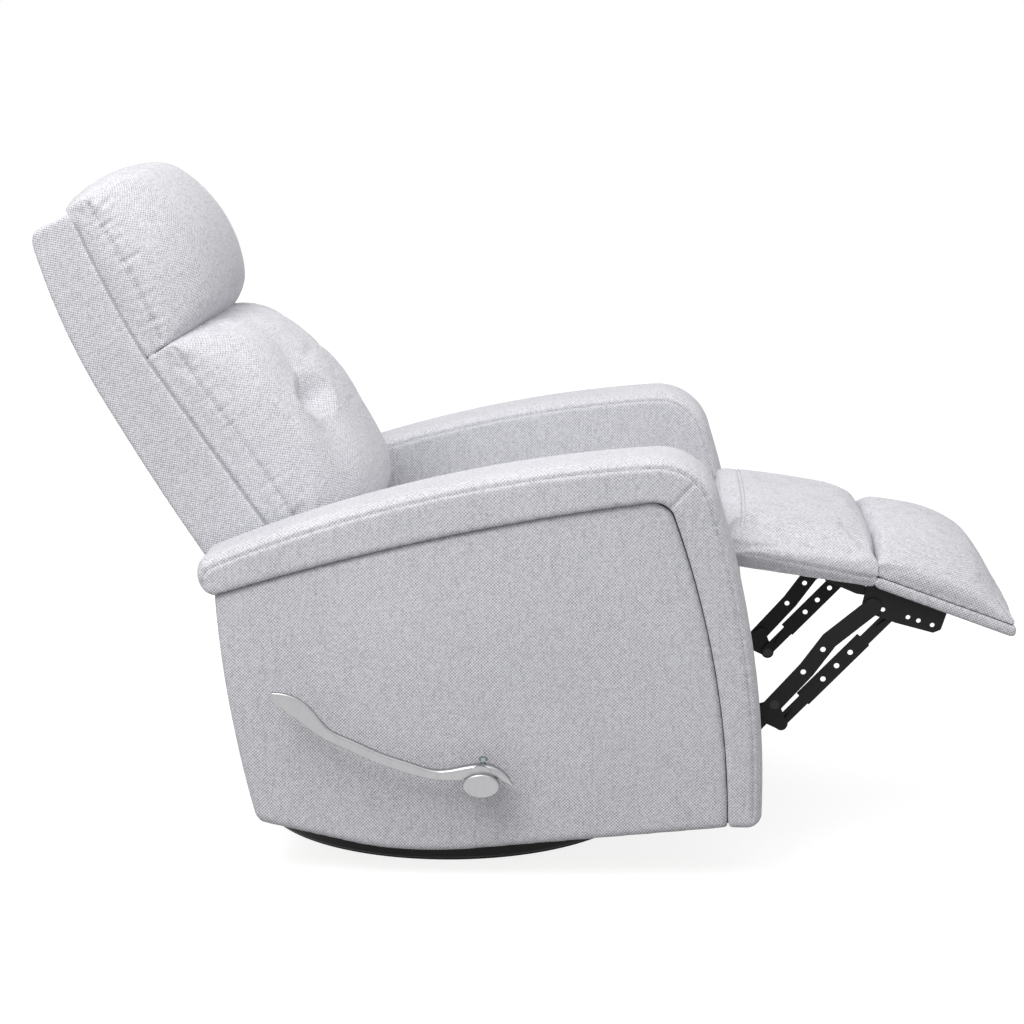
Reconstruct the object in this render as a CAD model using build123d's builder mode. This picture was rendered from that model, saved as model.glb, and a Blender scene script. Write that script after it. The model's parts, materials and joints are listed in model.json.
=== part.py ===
from build123d import *
from math import atan2, cos, degrees, hypot, radians, sin
import os

os.makedirs("parts", exist_ok=True)

# Swivel recliner in its reclined pose with the footrest out.
# Millimetres and degrees. +X is forward, +Y is the sitter's left, +Z is up.
# The origin is where the swivel axis meets the floor.

# Swivel base
ring_radius = 296.0
ring_width = 28.0
ring_top = 27.0
floor_pad = 3.0
spider_width = 54.0
spider_low = 9.0
spider_high = 19.0
race_radius = 122.0
race_low_top = 23.0
race_high_low = 29.0
race_high_top = 33.0
upper_plate_width = 300.0
pin_radius = 10.0
run_fit = 0.05
run_gap = 0.3

# Cross rails that tie the two arms to the swivel
rail_x = 165.0
rail_depth = 40.0
rail_top = 78.0

# Arms: widths across the chair
arm_outer = 382.0
arm_inner = 252.0
panel_face = 373.0
core_outer = 352.0
core_inner = 274.0
arm_crown = 12.0

# Arms: side outline, forward and up
arm_rear_x = -322.0
arm_rear_z = 463.0
arm_mid_z = 557.0
arm_front_x = 312.0
arm_front_z = 614.0
arm_toe_x = 467.0
arm_toe_z = 92.0
band_depth = 58.0
seam_gap = 1.2
skirt_low = 41.0
skirt_front = 83.0
skirt_rear = 79.0

# Seat carriage on its inclined guides
slide_back = 52.0
slide_drop = 13.9
seat_tilt = 6.27
deck_x = -120.0
deck_z = 320.0
seat_length = 500.0
seat_half = 246.0
seat_edge = 92.0
seat_crown = 126.0
plate = 3.0
plate_y = 241.0
guide_y = 247.0
guide_radius = 6.0
guide_front_x = 180.0
guide_rear_x = -70.0
guide_z = 240.0

# Back, leaning in the photographed pose
back_lean = 35.0
back_x = -414.0
back_z = 732.0
back_half = 245.0
back_top = 238.0
back_low = -384.0
head_crown = 154.0
cushion_crown = 160.0
tuft_y = 122.0
tuft_t = -183.0
tuft_depth = 34.0
frame_front = -8.0
frame_brow = 24.0
brow_drop = 8.0
wrap = 12.0
back_fit = 0.4
hinge_x = -262.0
hinge_z = 415.0
hinge_arm = 155.0
hinge_arm_lean = 25.0

# Footrest linkage pivots with the footrest out
link_y = 215.0
front_pivot_x = 348.4
front_pivot_z = 335.5
rear_pivot_x = 323.6
rear_pivot_z = 326.7
elbow_high_x = 490.7
elbow_high_z = 223.4
elbow_low_x = 501.0
elbow_low_z = 192.0
foot_rear_x = 629.6
foot_rear_z = 372.2
foot_front_x = 662.0
foot_front_z = 362.0
upper_tail = 40.0
link_width = 25.0
pivot_radius = 5.0
drive_reach = 45.0

# Footrest pads
crease_x = 630.0
crease_z = 404.0
foot_lean = -19.6
mid_lean = -7.9
foot_length = 212.0
mid_length = 224.0
mid_tongue = 18.0
crease_gap = 1.6
pad_half = 238.0
board = 16.0
foot_crown = 91.0
mid_crown = 80.0

# Lever and drive tube
lever_x = 77.0
lever_z = 156.0
tube_radius = 10.0
crank = 42.0
crank_angle = -37.0
lever_y = 409.0

# Directions and pivots worked out from the sizes above
front_pivot = (front_pivot_x, front_pivot_z)
rear_pivot = (rear_pivot_x, rear_pivot_z)
elbow_high = (elbow_high_x, elbow_high_z)
elbow_low = (elbow_low_x, elbow_low_z)
foot_rear = (foot_rear_x, foot_rear_z)
foot_front = (foot_front_x, foot_front_z)


def along(start, end, length, shift=0.0):
    """Point that lies the given length from start on the way to end, shifted to the left of that way."""
    span = hypot(end[0] - start[0], end[1] - start[1])
    step_x, step_z = (end[0] - start[0]) / span, (end[1] - start[1]) / span
    return (start[0] + length * step_x - shift * step_z, start[1] + length * step_z + shift * step_x)


tail = along(elbow_high, foot_rear, -upper_tail)
drive_pin = along(front_pivot, elbow_low, drive_reach)
crank_pin = (
    lever_x + crank * cos(radians(crank_angle)),
    lever_z + crank * sin(radians(crank_angle)),
)
seat_pin = (
    hinge_x + hinge_arm * sin(radians(hinge_arm_lean)),
    hinge_z - hinge_arm * cos(radians(hinge_arm_lean)),
)
crease_pin = (
    crease_x + 10 * sin(radians(foot_lean)),
    crease_z - 10 * cos(radians(foot_lean)),
)


def side(y, x=0.0, z=0.0, lean=0.0):
    """Upright plane across the chair at y, its sketch axes turned up by lean."""
    turn = radians(lean)
    return Plane(origin=(x, y, z), x_dir=(cos(turn), 0, sin(turn)), z_dir=(0, -1, 0))


def back_side(y):
    """Plane in the back's own axes: out of the cushion, then up the back."""
    return side(y, back_x, back_z, back_lean)


def seat_side(y):
    """Plane in the seat's own axes: forward along the deck, then up."""
    return side(y, deck_x, deck_z, seat_tilt)


def foot_side(y):
    """Plane in the end pad's own axes, from the crease outwards."""
    return side(y, crease_x, crease_z, foot_lean)


def mid_side(y):
    """Plane in the middle pad's own axes, from the crease outwards."""
    return side(y, crease_x, crease_z, mid_lean)


def swell(y, half):
    """Share of the full crown at y on a pad sewn down at its two sides."""
    return 1 - abs(y / half) ** 3


def bar(start, end, width):
    """Draws a flat bar with round ends from one pivot to another."""
    turn = degrees(atan2(end[1] - start[1], end[0] - start[0]))
    span = hypot(end[0] - start[0], end[1] - start[1])
    middle = ((start[0] + end[0]) / 2, (start[1] + end[1]) / 2)
    with Locations(Location((middle[0], middle[1], 0), (0, 0, turn))):
        SlotCenterToCenter(span, width)


def holes(points, radius):
    """Cuts round holes at the given points of the open sketch."""
    with Locations(*points):
        Circle(radius, mode=Mode.SUBTRACT)


def pins(points, radius, y, length):
    """Adds straight pins to both sides of the chair, from y inwards by length."""
    for middle in (-y + length / 2, y - length / 2):
        with Locations(*[(point[0], middle, point[1]) for point in points]):
            Cylinder(radius, length, rotation=(90, 0, 0))


# Swivel base: felted ring on the floor, tube ring, cross arms and the bearing
with BuildPart() as floor_pad_ring:
    with BuildSketch():
        Circle(ring_radius - 5)
        Circle(ring_radius - ring_width + 5, mode=Mode.SUBTRACT)
    extrude(amount=floor_pad)
floor_pad_ring.part.label = "floor_pad_ring"
export_step(floor_pad_ring.part, "parts/floor_pad_ring.step")

with BuildPart() as base_ring:
    with BuildSketch(Plane.XZ):
        with Locations((ring_radius - ring_width / 2, (ring_top + floor_pad) / 2)):
            RectangleRounded(ring_width, ring_top - floor_pad, 4.5)
    revolve(axis=Axis.Z)
base_ring.part.label = "base_ring"
export_step(base_ring.part, "parts/base_ring.step")

with BuildPart() as base_spider:
    with BuildSketch(Plane.XY.offset(spider_low)):
        Rectangle(2 * ring_radius, spider_width)
        Rectangle(spider_width, 2 * ring_radius)
        Circle(race_radius - 40)
        Circle(pin_radius, mode=Mode.SUBTRACT)
        Circle(ring_radius - ring_width, mode=Mode.INTERSECT)
        with PolarLocations(180, 4):
            SlotOverall(90, 20, mode=Mode.SUBTRACT)
    extrude(amount=spider_high - spider_low)
base_spider.part.label = "base_spider"
export_step(base_spider.part, "parts/base_spider.step")

with BuildPart() as swivel_lower_plate:
    with BuildSketch(Plane.XY.offset(spider_high)):
        Circle(race_radius)
        Circle(pin_radius, mode=Mode.SUBTRACT)
    extrude(amount=race_low_top - spider_high)
    with BuildSketch(Plane.XY.offset(race_low_top)):
        Circle(race_radius)
        Circle(race_radius - 6, mode=Mode.SUBTRACT)
    extrude(amount=3)
swivel_lower_plate.part.label = "swivel_lower_plate"
export_step(swivel_lower_plate.part, "parts/swivel_lower_plate.step")

with BuildPart() as swivel_race:
    with BuildSketch(Plane.XY.offset(race_low_top)):
        Circle(race_radius - 6)
        Circle(race_radius - 40, mode=Mode.SUBTRACT)
    extrude(amount=race_high_low - race_low_top)
swivel_race.part.label = "swivel_race"
export_step(swivel_race.part, "parts/swivel_race.step")

with BuildPart() as swivel_pin:
    with BuildSketch(Plane.XY.offset(spider_low)):
        Circle(pin_radius)
    extrude(amount=race_high_top + 0.4 - spider_low)
    with BuildSketch(Plane.XY.offset(race_high_top + 0.4)):
        RegularPolygon(16, 6)
    extrude(amount=10)
swivel_pin.part.label = "swivel_pin"
export_step(swivel_pin.part, "parts/swivel_pin.step")

with BuildPart() as swivel_upper_plate:
    with BuildSketch(Plane.XY.offset(race_high_low)):
        RectangleRounded(2 * rail_x + rail_depth, upper_plate_width, 18)
        Circle(pin_radius + run_fit, mode=Mode.SUBTRACT)
        with GridLocations(150, 200, 2, 2):
            Circle(24, mode=Mode.SUBTRACT)
    extrude(amount=race_high_top - race_high_low)
swivel_upper_plate.part.label = "swivel_upper_plate"
export_step(swivel_upper_plate.part, "parts/swivel_upper_plate.step")

with BuildPart() as cross_rail_front:
    with BuildSketch(Plane.XY.offset(race_high_top)):
        with Locations((rail_x, 0)):
            Rectangle(rail_depth, 2 * core_inner)
    extrude(amount=rail_top - race_high_top)
    long_edges = cross_rail_front.edges().filter_by(Axis.Y)
    chamfer(long_edges, 3)
cross_rail_front.part.label = "cross_rail_front"
export_step(cross_rail_front.part, "parts/cross_rail_front.step")

with BuildPart() as cross_rail_rear:
    mirror(cross_rail_front.part, about=Plane.YZ)
cross_rail_rear.part.label = "cross_rail_rear"
export_step(cross_rail_rear.part, "parts/cross_rail_rear.step")


# Arms: a crowned band over the top and down the front, round a boarded core
def band_section(y, drop):
    """Side profile of the arm band, its outer face let in by drop at the edges."""
    seam_x = arm_rear_x + 17
    seam_front = arm_toe_x - 46
    toe_low = arm_toe_z - 6
    with BuildSketch(side(y)) as section:
        with BuildLine():
            top = ThreePointArc(
                (arm_rear_x + drop * 0.5, arm_rear_z - drop),
                ((arm_rear_x + arm_front_x) / 2 - 35, arm_mid_z - drop),
                (arm_front_x - drop * 0.3, arm_front_z - drop),
            )
            shoulder = ThreePointArc(
                top @ 1,
                (arm_front_x + 57 - 0.7 * drop, arm_front_z - 17 - 0.7 * drop),
                (arm_front_x + 90 - drop, arm_front_z - 69 - 0.2 * drop),
            )
            front = ThreePointArc(
                shoulder @ 1,
                (arm_toe_x - 21 - drop, arm_toe_z + 278),
                (arm_toe_x - drop, arm_toe_z),
            )
            toe = Line(front @ 1, (arm_toe_x - 15, toe_low))
            sole = Line(toe @ 1, (seam_front, toe_low))
            inner = ThreePointArc(
                sole @ 1,
                (seam_front - 29, arm_toe_z + 260),
                (arm_front_x + 26, arm_front_z - band_depth - 18),
            )
            bend = ThreePointArc(
                inner @ 1,
                (arm_front_x + 15, arm_front_z - band_depth - 8),
                (arm_front_x - 8, arm_front_z - band_depth - 4),
            )
            under = ThreePointArc(
                bend @ 1,
                ((arm_rear_x + arm_front_x) / 2 - 10, arm_mid_z - band_depth - 6),
                (seam_x, arm_rear_z - band_depth + 8),
            )
            ThreePointArc(
                under @ 1,
                (arm_rear_x - 8 + drop * 0.6, arm_rear_z - 26),
                top @ 0,
            )
        make_face()
    return section.sketch


band_middle = -(arm_outer + arm_inner) / 2
band_stations = [
    (-arm_inner, arm_crown),
    (-arm_inner - 9, arm_crown * 0.35),
    (band_middle, 0),
    (-arm_outer + 9, arm_crown * 0.35),
    (-arm_outer, arm_crown),
]
with BuildPart() as arm_wrap_right:
    loft(sections=[band_section(y, drop) for y, drop in band_stations])
arm_wrap_right.part.label = "arm_wrap_right"
export_step(arm_wrap_right.part, "parts/arm_wrap_right.step")

with BuildPart() as arm_wrap_left:
    mirror(arm_wrap_right.part, about=Plane.XZ)
arm_wrap_left.part.label = "arm_wrap_left"
export_step(arm_wrap_left.part, "parts/arm_wrap_left.step")


def panel_outline(y, gap, low, rear=0.0):
    """Outline of what fills the arm under its band, clear of the band by gap."""
    seam_front = arm_toe_x - 46 - gap
    seam_rear = arm_rear_x + 17 + rear
    with BuildSketch(side(y)) as outline:
        with BuildLine():
            head = ThreePointArc(
                (seam_rear, arm_rear_z - band_depth + 8 - gap),
                ((arm_rear_x + arm_front_x) / 2 - 10, arm_mid_z - band_depth - 6 - gap),
                (arm_front_x - 8, arm_front_z - band_depth - 4 - gap),
            )
            bend = ThreePointArc(
                head @ 1,
                (arm_front_x + 14 - gap, arm_front_z - band_depth - 9 - gap),
                (arm_front_x + 26 - gap, arm_front_z - band_depth - 19 - gap),
            )
            face = ThreePointArc(
                bend @ 1,
                (seam_front - 29, arm_toe_z + 260),
                (seam_front, skirt_front + low),
            )
            fore = Line(face @ 1, (60, skirt_low + 4 + low))
            sole = ThreePointArc(fore @ 1, (-20, skirt_low + low), (-100, skirt_low + 7 + low))
            aft = Line(sole @ 1, (arm_rear_x + 76 + rear, skirt_rear + low))
            heel = Line(aft @ 1, (arm_rear_x + 68 + rear, skirt_rear + 10 + low))
            ThreePointArc(heel @ 1, (arm_rear_x + 36 + rear, (skirt_rear + arm_rear_z) / 2 - 32), head @ 0)
        make_face()
    return outline.sketch


def padded_panel(sign):
    """Sections of an upholstered side panel, its edge turned in towards the board."""
    board_face = panel_outline(sign * core_outer, seam_gap, 0)
    shoulder = panel_outline(sign * (panel_face - 6), seam_gap, 0)
    crest = panel_outline(sign * (panel_face - 2), seam_gap + 1.5, 1.5, 1.5)
    face = panel_outline(sign * panel_face, seam_gap + 6, 6, 6)
    return [board_face, shoulder, crest, face]


with BuildPart() as side_panel_right:
    loft(sections=padded_panel(-1), ruled=True)
    with BuildSketch(side(-core_outer + 5)):
        with Locations((lever_x, lever_z)):
            Circle(tube_radius + 3)
    extrude(amount=40, mode=Mode.SUBTRACT)
side_panel_right.part.label = "side_panel_right"
export_step(side_panel_right.part, "parts/side_panel_right.step")

with BuildPart() as side_panel_left:
    loft(sections=padded_panel(1), ruled=True)
side_panel_left.part.label = "side_panel_left"
export_step(side_panel_left.part, "parts/side_panel_left.step")

with BuildPart() as arm_core_right:
    extrude(panel_outline(-core_inner, run_gap, 6), amount=core_outer - core_inner)
    with BuildSketch(side(-core_inner + 5)):
        with Locations((lever_x, lever_z)):
            Circle(tube_radius + run_fit)
    extrude(amount=100, mode=Mode.SUBTRACT)
    with BuildSketch(side(-core_inner + 1)):
        with Locations((hinge_x, hinge_z)):
            Circle(8)
    extrude(amount=41, mode=Mode.SUBTRACT)
arm_core_right.part.label = "arm_core_right"
export_step(arm_core_right.part, "parts/arm_core_right.step")

with BuildPart() as arm_core_left:
    extrude(panel_outline(core_outer, run_gap, 6), amount=core_outer - core_inner)
    with BuildSketch(side(core_inner + 40)):
        with Locations((hinge_x, hinge_z)):
            Circle(8)
    extrude(amount=41, mode=Mode.SUBTRACT)
arm_core_left.part.label = "arm_core_left"
export_step(arm_core_left.part, "parts/arm_core_left.step")

with BuildPart() as inner_panel_right:
    extrude(panel_outline(-arm_inner, run_gap, 0), amount=core_inner - arm_inner)
    with BuildSketch(side(-arm_inner + 5)):
        Rectangle(1600, 2 * (rail_top + 16))
        with Locations((lever_x, lever_z), (hinge_x, hinge_z)):
            Circle(tube_radius + 3)
    extrude(amount=40, mode=Mode.SUBTRACT)
inner_panel_right.part.label = "inner_panel_right"
export_step(inner_panel_right.part, "parts/inner_panel_right.step")

with BuildPart() as inner_panel_left:
    extrude(panel_outline(core_inner, run_gap, 0), amount=core_inner - arm_inner)
    with BuildSketch(side(core_inner + 5)):
        Rectangle(1600, 2 * (rail_top + 16))
        with Locations((hinge_x, hinge_z)):
            Circle(tube_radius + 3)
    extrude(amount=40, mode=Mode.SUBTRACT)
inner_panel_left.part.label = "inner_panel_left"
export_step(inner_panel_left.part, "parts/inner_panel_left.step")

with BuildPart() as rear_panel:
    with BuildSketch(side(arm_inner)):
        Polygon(
            (arm_rear_x + 72, skirt_rear + 10),
            (arm_rear_x + 84, skirt_rear + 10),
            (arm_rear_x + 33, hinge_z - 80),
            (arm_rear_x + 21, hinge_z - 80),
            align=None,
        )
    extrude(amount=2 * arm_inner)
    fillet(rear_panel.edges().filter_by(Axis.Y).sort_by(Axis.X)[0:2], 4)
rear_panel.part.label = "rear_panel"
export_step(rear_panel.part, "parts/rear_panel.step")

with BuildPart() as back_pivot_bolts:
    pins([(hinge_x, hinge_z)], 8, core_inner + 40, core_inner + 40 - back_half + 29)
back_pivot_bolts.part.label = "back_pivot_bolts"
export_step(back_pivot_bolts.part, "parts/back_pivot_bolts.step")


# Fixed half of the mechanism: a flanged plate with two inclined guide slots
def base_plate(sign):
    """One fixed side plate, standing on the cross rails inside its arm."""
    outer = -(guide_y + plate) if sign < 0 else guide_y
    with BuildSketch(side(outer + plate)) as wall:
        Polygon(
            (-190, rail_top),
            (-190, rail_top + 40),
            (-160, guide_z + 24),
            (215, guide_z + 24),
            (rail_x + 28, rail_top + 60),
            (rail_x + 28, rail_top),
            align=None,
        )
        holes([(lever_x, lever_z)], tube_radius + run_fit)
        for x in (guide_front_x, guide_rear_x):
            with Locations((x - slide_back / 2, guide_z - slide_drop / 2)):
                SlotCenterToCenter(
                    hypot(slide_back, slide_drop),
                    2 * guide_radius + 1,
                    rotation=degrees(atan2(slide_drop, slide_back)),
                    mode=Mode.SUBTRACT,
                )
        with Locations((-40, 150)):
            SlotOverall(110, 46, mode=Mode.SUBTRACT)
    with BuildSketch(Plane.XY.offset(rail_top)) as flange:
        with Locations((1, sign * (guide_y - 15))):
            Rectangle(2 * rail_x + 54, 30)
        with Locations((rail_x, sign * (guide_y - 17)), (-rail_x, sign * (guide_y - 17))):
            Circle(4.5, mode=Mode.SUBTRACT)
    return wall.sketch, flange.sketch


with BuildPart() as mech_base_plate_right:
    for face in base_plate(-1):
        extrude(face, amount=plate)
mech_base_plate_right.part.label = "mech_base_plate_right"
export_step(mech_base_plate_right.part, "parts/mech_base_plate_right.step")

with BuildPart() as mech_base_plate_left:
    for face in base_plate(1):
        extrude(face, amount=plate)
mech_base_plate_left.part.label = "mech_base_plate_left"
export_step(mech_base_plate_left.part, "parts/mech_base_plate_left.step")

# Drive tube across the chair, cranked near each end so that its link swings past the axis
crank_y = link_y - 14.5
crank_gap = 8.0
with BuildPart() as drive_tube:
    runs = [
        (-lever_y + 6, -crank_y - crank_gap),
        (-crank_y, crank_y),
        (crank_y + crank_gap, guide_y + plate),
    ]
    for start, end in runs:
        with BuildSketch(side(end)):
            with Locations((lever_x, lever_z)):
                Circle(tube_radius)
        extrude(amount=end - start)
    for end in (-crank_y - crank_gap, -crank_y + plate, crank_y, crank_y + crank_gap + plate):
        with BuildSketch(side(end)):
            bar((lever_x, lever_z), crank_pin, link_width)
        extrude(amount=plate)
    for end in (-crank_y, crank_y + crank_gap):
        with BuildSketch(side(end)):
            with Locations(crank_pin):
                Circle(pivot_radius)
        extrude(amount=crank_gap)
drive_tube.part.label = "drive_tube"
export_step(drive_tube.part, "parts/drive_tube.step")


# Lever: a forged blade that dips over its hub and ends in a turned-up paddle
def lever_section(x, z, lean, height, thick, out):
    """Rounded section of the blade at one point of its run."""
    turn = radians(lean)
    run = Plane(
        origin=(x, -lever_y - out, z),
        x_dir=(0, -1, 0),
        z_dir=(cos(turn), 0, sin(turn)),
    )
    with BuildSketch(run) as section:
        RectangleRounded(thick, height, 0.36 * min(thick, height))
    return section.sketch


blade = [
    lever_section(lever_x + 39, lever_z - 2, -56, 4, 8, 1),
    lever_section(lever_x + 29, lever_z + 8, -46, 11, 13, 1),
    lever_section(lever_x + 10, lever_z + 16, -16, 20, 16, 0),
    lever_section(lever_x - 14, lever_z + 16, 4, 22, 16, 0),
    lever_section(lever_x - 44, lever_z + 12, 4, 18, 15, 1),
    lever_section(lever_x - 70, lever_z + 12, -8, 15, 13, 3),
    lever_section(lever_x - 102, lever_z + 21, -18, 16, 12, 6),
    lever_section(lever_x - 144, lever_z + 36, -22, 16, 12, 10),
    lever_section(lever_x - 189, lever_z + 57, -26, 16, 12, 13),
    lever_section(lever_x - 222, lever_z + 74, -35, 17, 11, 15),
    lever_section(lever_x - 240, lever_z + 91, -43, 23, 10, 16),
    lever_section(lever_x - 258, lever_z + 107, -36, 26, 9, 16),
    lever_section(lever_x - 279, lever_z + 119, -26, 22, 8, 16),
    lever_section(lever_x - 297, lever_z + 126, -16, 9, 5, 16),
]
screw_x = lever_x - 1
hub_top = (lever_x - 4, lever_z + 10)
with BuildPart() as lever_handle:
    loft(sections=blade)
    with BuildSketch(side(-lever_y + 8)):
        bar((lever_x, lever_z), hub_top, 34)
    extrude(amount=14)
    with BuildSketch(side(-lever_y + 8)):
        with Locations((lever_x, lever_z)):
            Circle(tube_radius)
    extrude(amount=14, mode=Mode.SUBTRACT)
    with BuildSketch(side(-lever_y - 6)):
        bar((lever_x, lever_z), hub_top, 34)
    extrude(amount=4)
    with BuildSketch(Plane(origin=(screw_x, -lever_y + 4, lever_z + 16))):
        Circle(3)
    extrude(amount=20, mode=Mode.SUBTRACT)
lever_handle.part.label = "lever_handle"
export_step(lever_handle.part, "parts/lever_handle.step")

with BuildPart() as lever_cap:
    with BuildSketch(side(-lever_y - 10)):
        with Locations((lever_x - 3, lever_z)):
            Ellipse(25.5, 17)
    extrude(amount=9)
    fillet(lever_cap.faces().sort_by(Axis.Y)[0].edges(), 3)
lever_cap.part.label = "lever_cap"
export_step(lever_cap.part, "parts/lever_cap.step")

with BuildPart() as lever_screw:
    with BuildSketch(Plane(origin=(screw_x, -lever_y + 4, lever_z + 16))):
        Circle(3)
    extrude(amount=15)
    with BuildSketch(Plane(origin=(screw_x, -lever_y + 4, lever_z + 31))):
        RegularPolygon(6, 6)
    extrude(amount=5)
lever_screw.part.label = "lever_screw"
export_step(lever_screw.part, "parts/lever_screw.step")

# Drive links with a lost-motion slot that lets the seat slide
with BuildPart() as drive_links:
    for near in (-link_y + 9, link_y - 9 - plate):
        with BuildSketch(side(near + plate)):
            slot_end = (drive_pin[0] - slide_back, drive_pin[1] - slide_drop)
            bar(crank_pin, slot_end, 22)
            bar(slot_end, drive_pin, 24)
            bar_gap = hypot(slide_back, slide_drop)
            lean = degrees(atan2(slide_drop, slide_back))
            with Locations(((slot_end[0] + drive_pin[0]) / 2, (slot_end[1] + drive_pin[1]) / 2)):
                SlotCenterToCenter(bar_gap, 2 * pivot_radius + 1, rotation=lean, mode=Mode.SUBTRACT)
            holes([crank_pin], pivot_radius + run_fit)
        extrude(amount=plate)
drive_links.part.label = "drive_links"
export_step(drive_links.part, "parts/drive_links.step")


# Seat carriage: side plates, rails, straps and the cushion
def seat_plate(outer):
    """One moving side plate, from the rear hinge to the front link pivots."""
    with BuildSketch(side(outer + plate)) as wall:
        Polygon(
            (seat_pin[0] - 16, seat_pin[1] - 16),
            (seat_pin[0] - 16, seat_pin[1] + 22),
            (deck_x + 10, deck_z - 2),
            (front_pivot_x - 10, front_pivot_z + 34),
            (front_pivot_x + 42, front_pivot_z + 38),
            (front_pivot_x + 42, front_pivot_z + 2),
            (front_pivot_x + 8, front_pivot_z - 22),
            (rear_pivot_x - 26, rear_pivot_z - 34),
            (guide_front_x + 26, guide_z - 16),
            (guide_rear_x - 26, guide_z - 18),
            align=None,
        )
        fillet(vertices(), 9)
        with Locations((40, 288), (200, 302)):
            SlotOverall(120, 34, rotation=seat_tilt, mode=Mode.SUBTRACT)
    return wall.sketch


with BuildPart() as seat_plate_right:
    extrude(seat_plate(-(plate_y + plate)), amount=plate)
seat_plate_right.part.label = "seat_plate_right"
export_step(seat_plate_right.part, "parts/seat_plate_right.step")

with BuildPart() as seat_plate_left:
    extrude(seat_plate(plate_y), amount=plate)
seat_plate_left.part.label = "seat_plate_left"
export_step(seat_plate_left.part, "parts/seat_plate_left.step")

deck_front = hypot(front_pivot_x + 22 - deck_x, front_pivot_z + 38 - deck_z)
with BuildPart() as seat_rail_front:
    with BuildSketch(seat_side(plate_y)):
        with Locations((deck_front, -10)):
            RectangleRounded(38, 20, 3)
    extrude(amount=2 * plate_y)
seat_rail_front.part.label = "seat_rail_front"
export_step(seat_rail_front.part, "parts/seat_rail_front.step")

with BuildPart() as seat_rail_rear:
    with BuildSketch(seat_side(plate_y)):
        with Locations((0, -12)):
            RectangleRounded(40, 24, 3)
    extrude(amount=2 * plate_y)
seat_rail_rear.part.label = "seat_rail_rear"
export_step(seat_rail_rear.part, "parts/seat_rail_rear.step")

with BuildPart() as seat_webbing:
    for y in (-170, -85, 0, 85, 170):
        with BuildSketch(seat_side(y + 26)):
            with Locations(((deck_front - 2) / 2, 1)):
                Rectangle(deck_front + 34, 2)
        extrude(amount=52)
seat_webbing.part.label = "seat_webbing"
export_step(seat_webbing.part, "parts/seat_webbing.step")


def seat_section(y):
    """Front to rear profile of the seat cushion at y."""
    rise = swell(y, seat_half)
    top = seat_edge + (seat_crown - seat_edge) * rise
    with BuildSketch(seat_side(y)) as section:
        with BuildLine():
            base = Line((-20, 2), (seat_length - 8, 2))
            nose = ThreePointArc(
                base @ 1,
                (seat_length + 1 * rise, top * 0.5),
                (seat_length - 16, top - 12),
            )
            lip = ThreePointArc(nose @ 1, (seat_length - 28, top - 3), (seat_length - 50, top))
            crown = ThreePointArc(
                lip @ 1,
                (seat_length * 0.5, top + 3),
                (seat_length * 0.3, top - 8),
            )
            tuck = ThreePointArc(crown @ 1, (56, top - 36), (-26, top * 0.36))
            Line(tuck @ 1, base @ 0)
        make_face()
    return section.sketch


pad_shares = (-1, -0.9, -0.62, 0, 0.62, 0.9, 1)
with BuildPart() as seat_cushion:
    loft(sections=[seat_section(share * seat_half) for share in pad_shares])
seat_cushion.part.label = "seat_cushion"
export_step(seat_cushion.part, "parts/seat_cushion.step")

with BuildPart() as seat_guide_pins:
    guides = [(guide_front_x, guide_z), (guide_rear_x, guide_z)]
    pins(guides, guide_radius, guide_y + plate + 1, guide_y + plate + 1 - plate_y - plate)
seat_guide_pins.part.label = "seat_guide_pins"
export_step(seat_guide_pins.part, "parts/seat_guide_pins.step")

with BuildPart() as seat_pivot_pins:
    pins([front_pivot], pivot_radius, plate_y, plate_y - link_y + 3)
    pins([rear_pivot], pivot_radius, plate_y, plate_y - link_y - 5)
    pins([seat_pin], pivot_radius, plate_y, plate_y - link_y)
seat_pivot_pins.part.label = "seat_pivot_pins"
export_step(seat_pivot_pins.part, "parts/seat_pivot_pins.step")


# Back: two side frames, the outside back, a top rail, straps and two cushions
def rear_line():
    """Curved rear edge of the back, in the back's own axes, from foot to crown."""
    lower = ThreePointArc((-108, back_low), (-105, -200), (-95, -28))
    upper = ThreePointArc(lower @ 1, (-79, 95), (-44, back_top - 14))
    return lower, upper


with BuildPart() as back_rear_panel:
    with BuildSketch(back_side(back_half)):
        with BuildLine():
            lower, upper = rear_line()
            crown = ThreePointArc(upper @ 1, (-34, back_top - 2), (-20, back_top))
            roof = Line(crown @ 1, (frame_brow, back_top - brow_drop))
            lip = Line(roof @ 1, (frame_brow, back_top - brow_drop - wrap))
            ceiling = Line(lip @ 1, (-20, back_top - wrap))
            inner = ThreePointArc(ceiling @ 1, (-26, back_top - wrap - 1), (-33, back_top - 22))
            high = ThreePointArc(inner @ 1, (-67, 92), (-83, -28))
            low = ThreePointArc(high @ 1, (-93, -200), (-96, back_low))
            Line(low @ 1, lower @ 0)
        make_face()
    extrude(amount=2 * back_half)
back_rear_panel.part.label = "back_rear_panel"
export_step(back_rear_panel.part, "parts/back_rear_panel.step")


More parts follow.
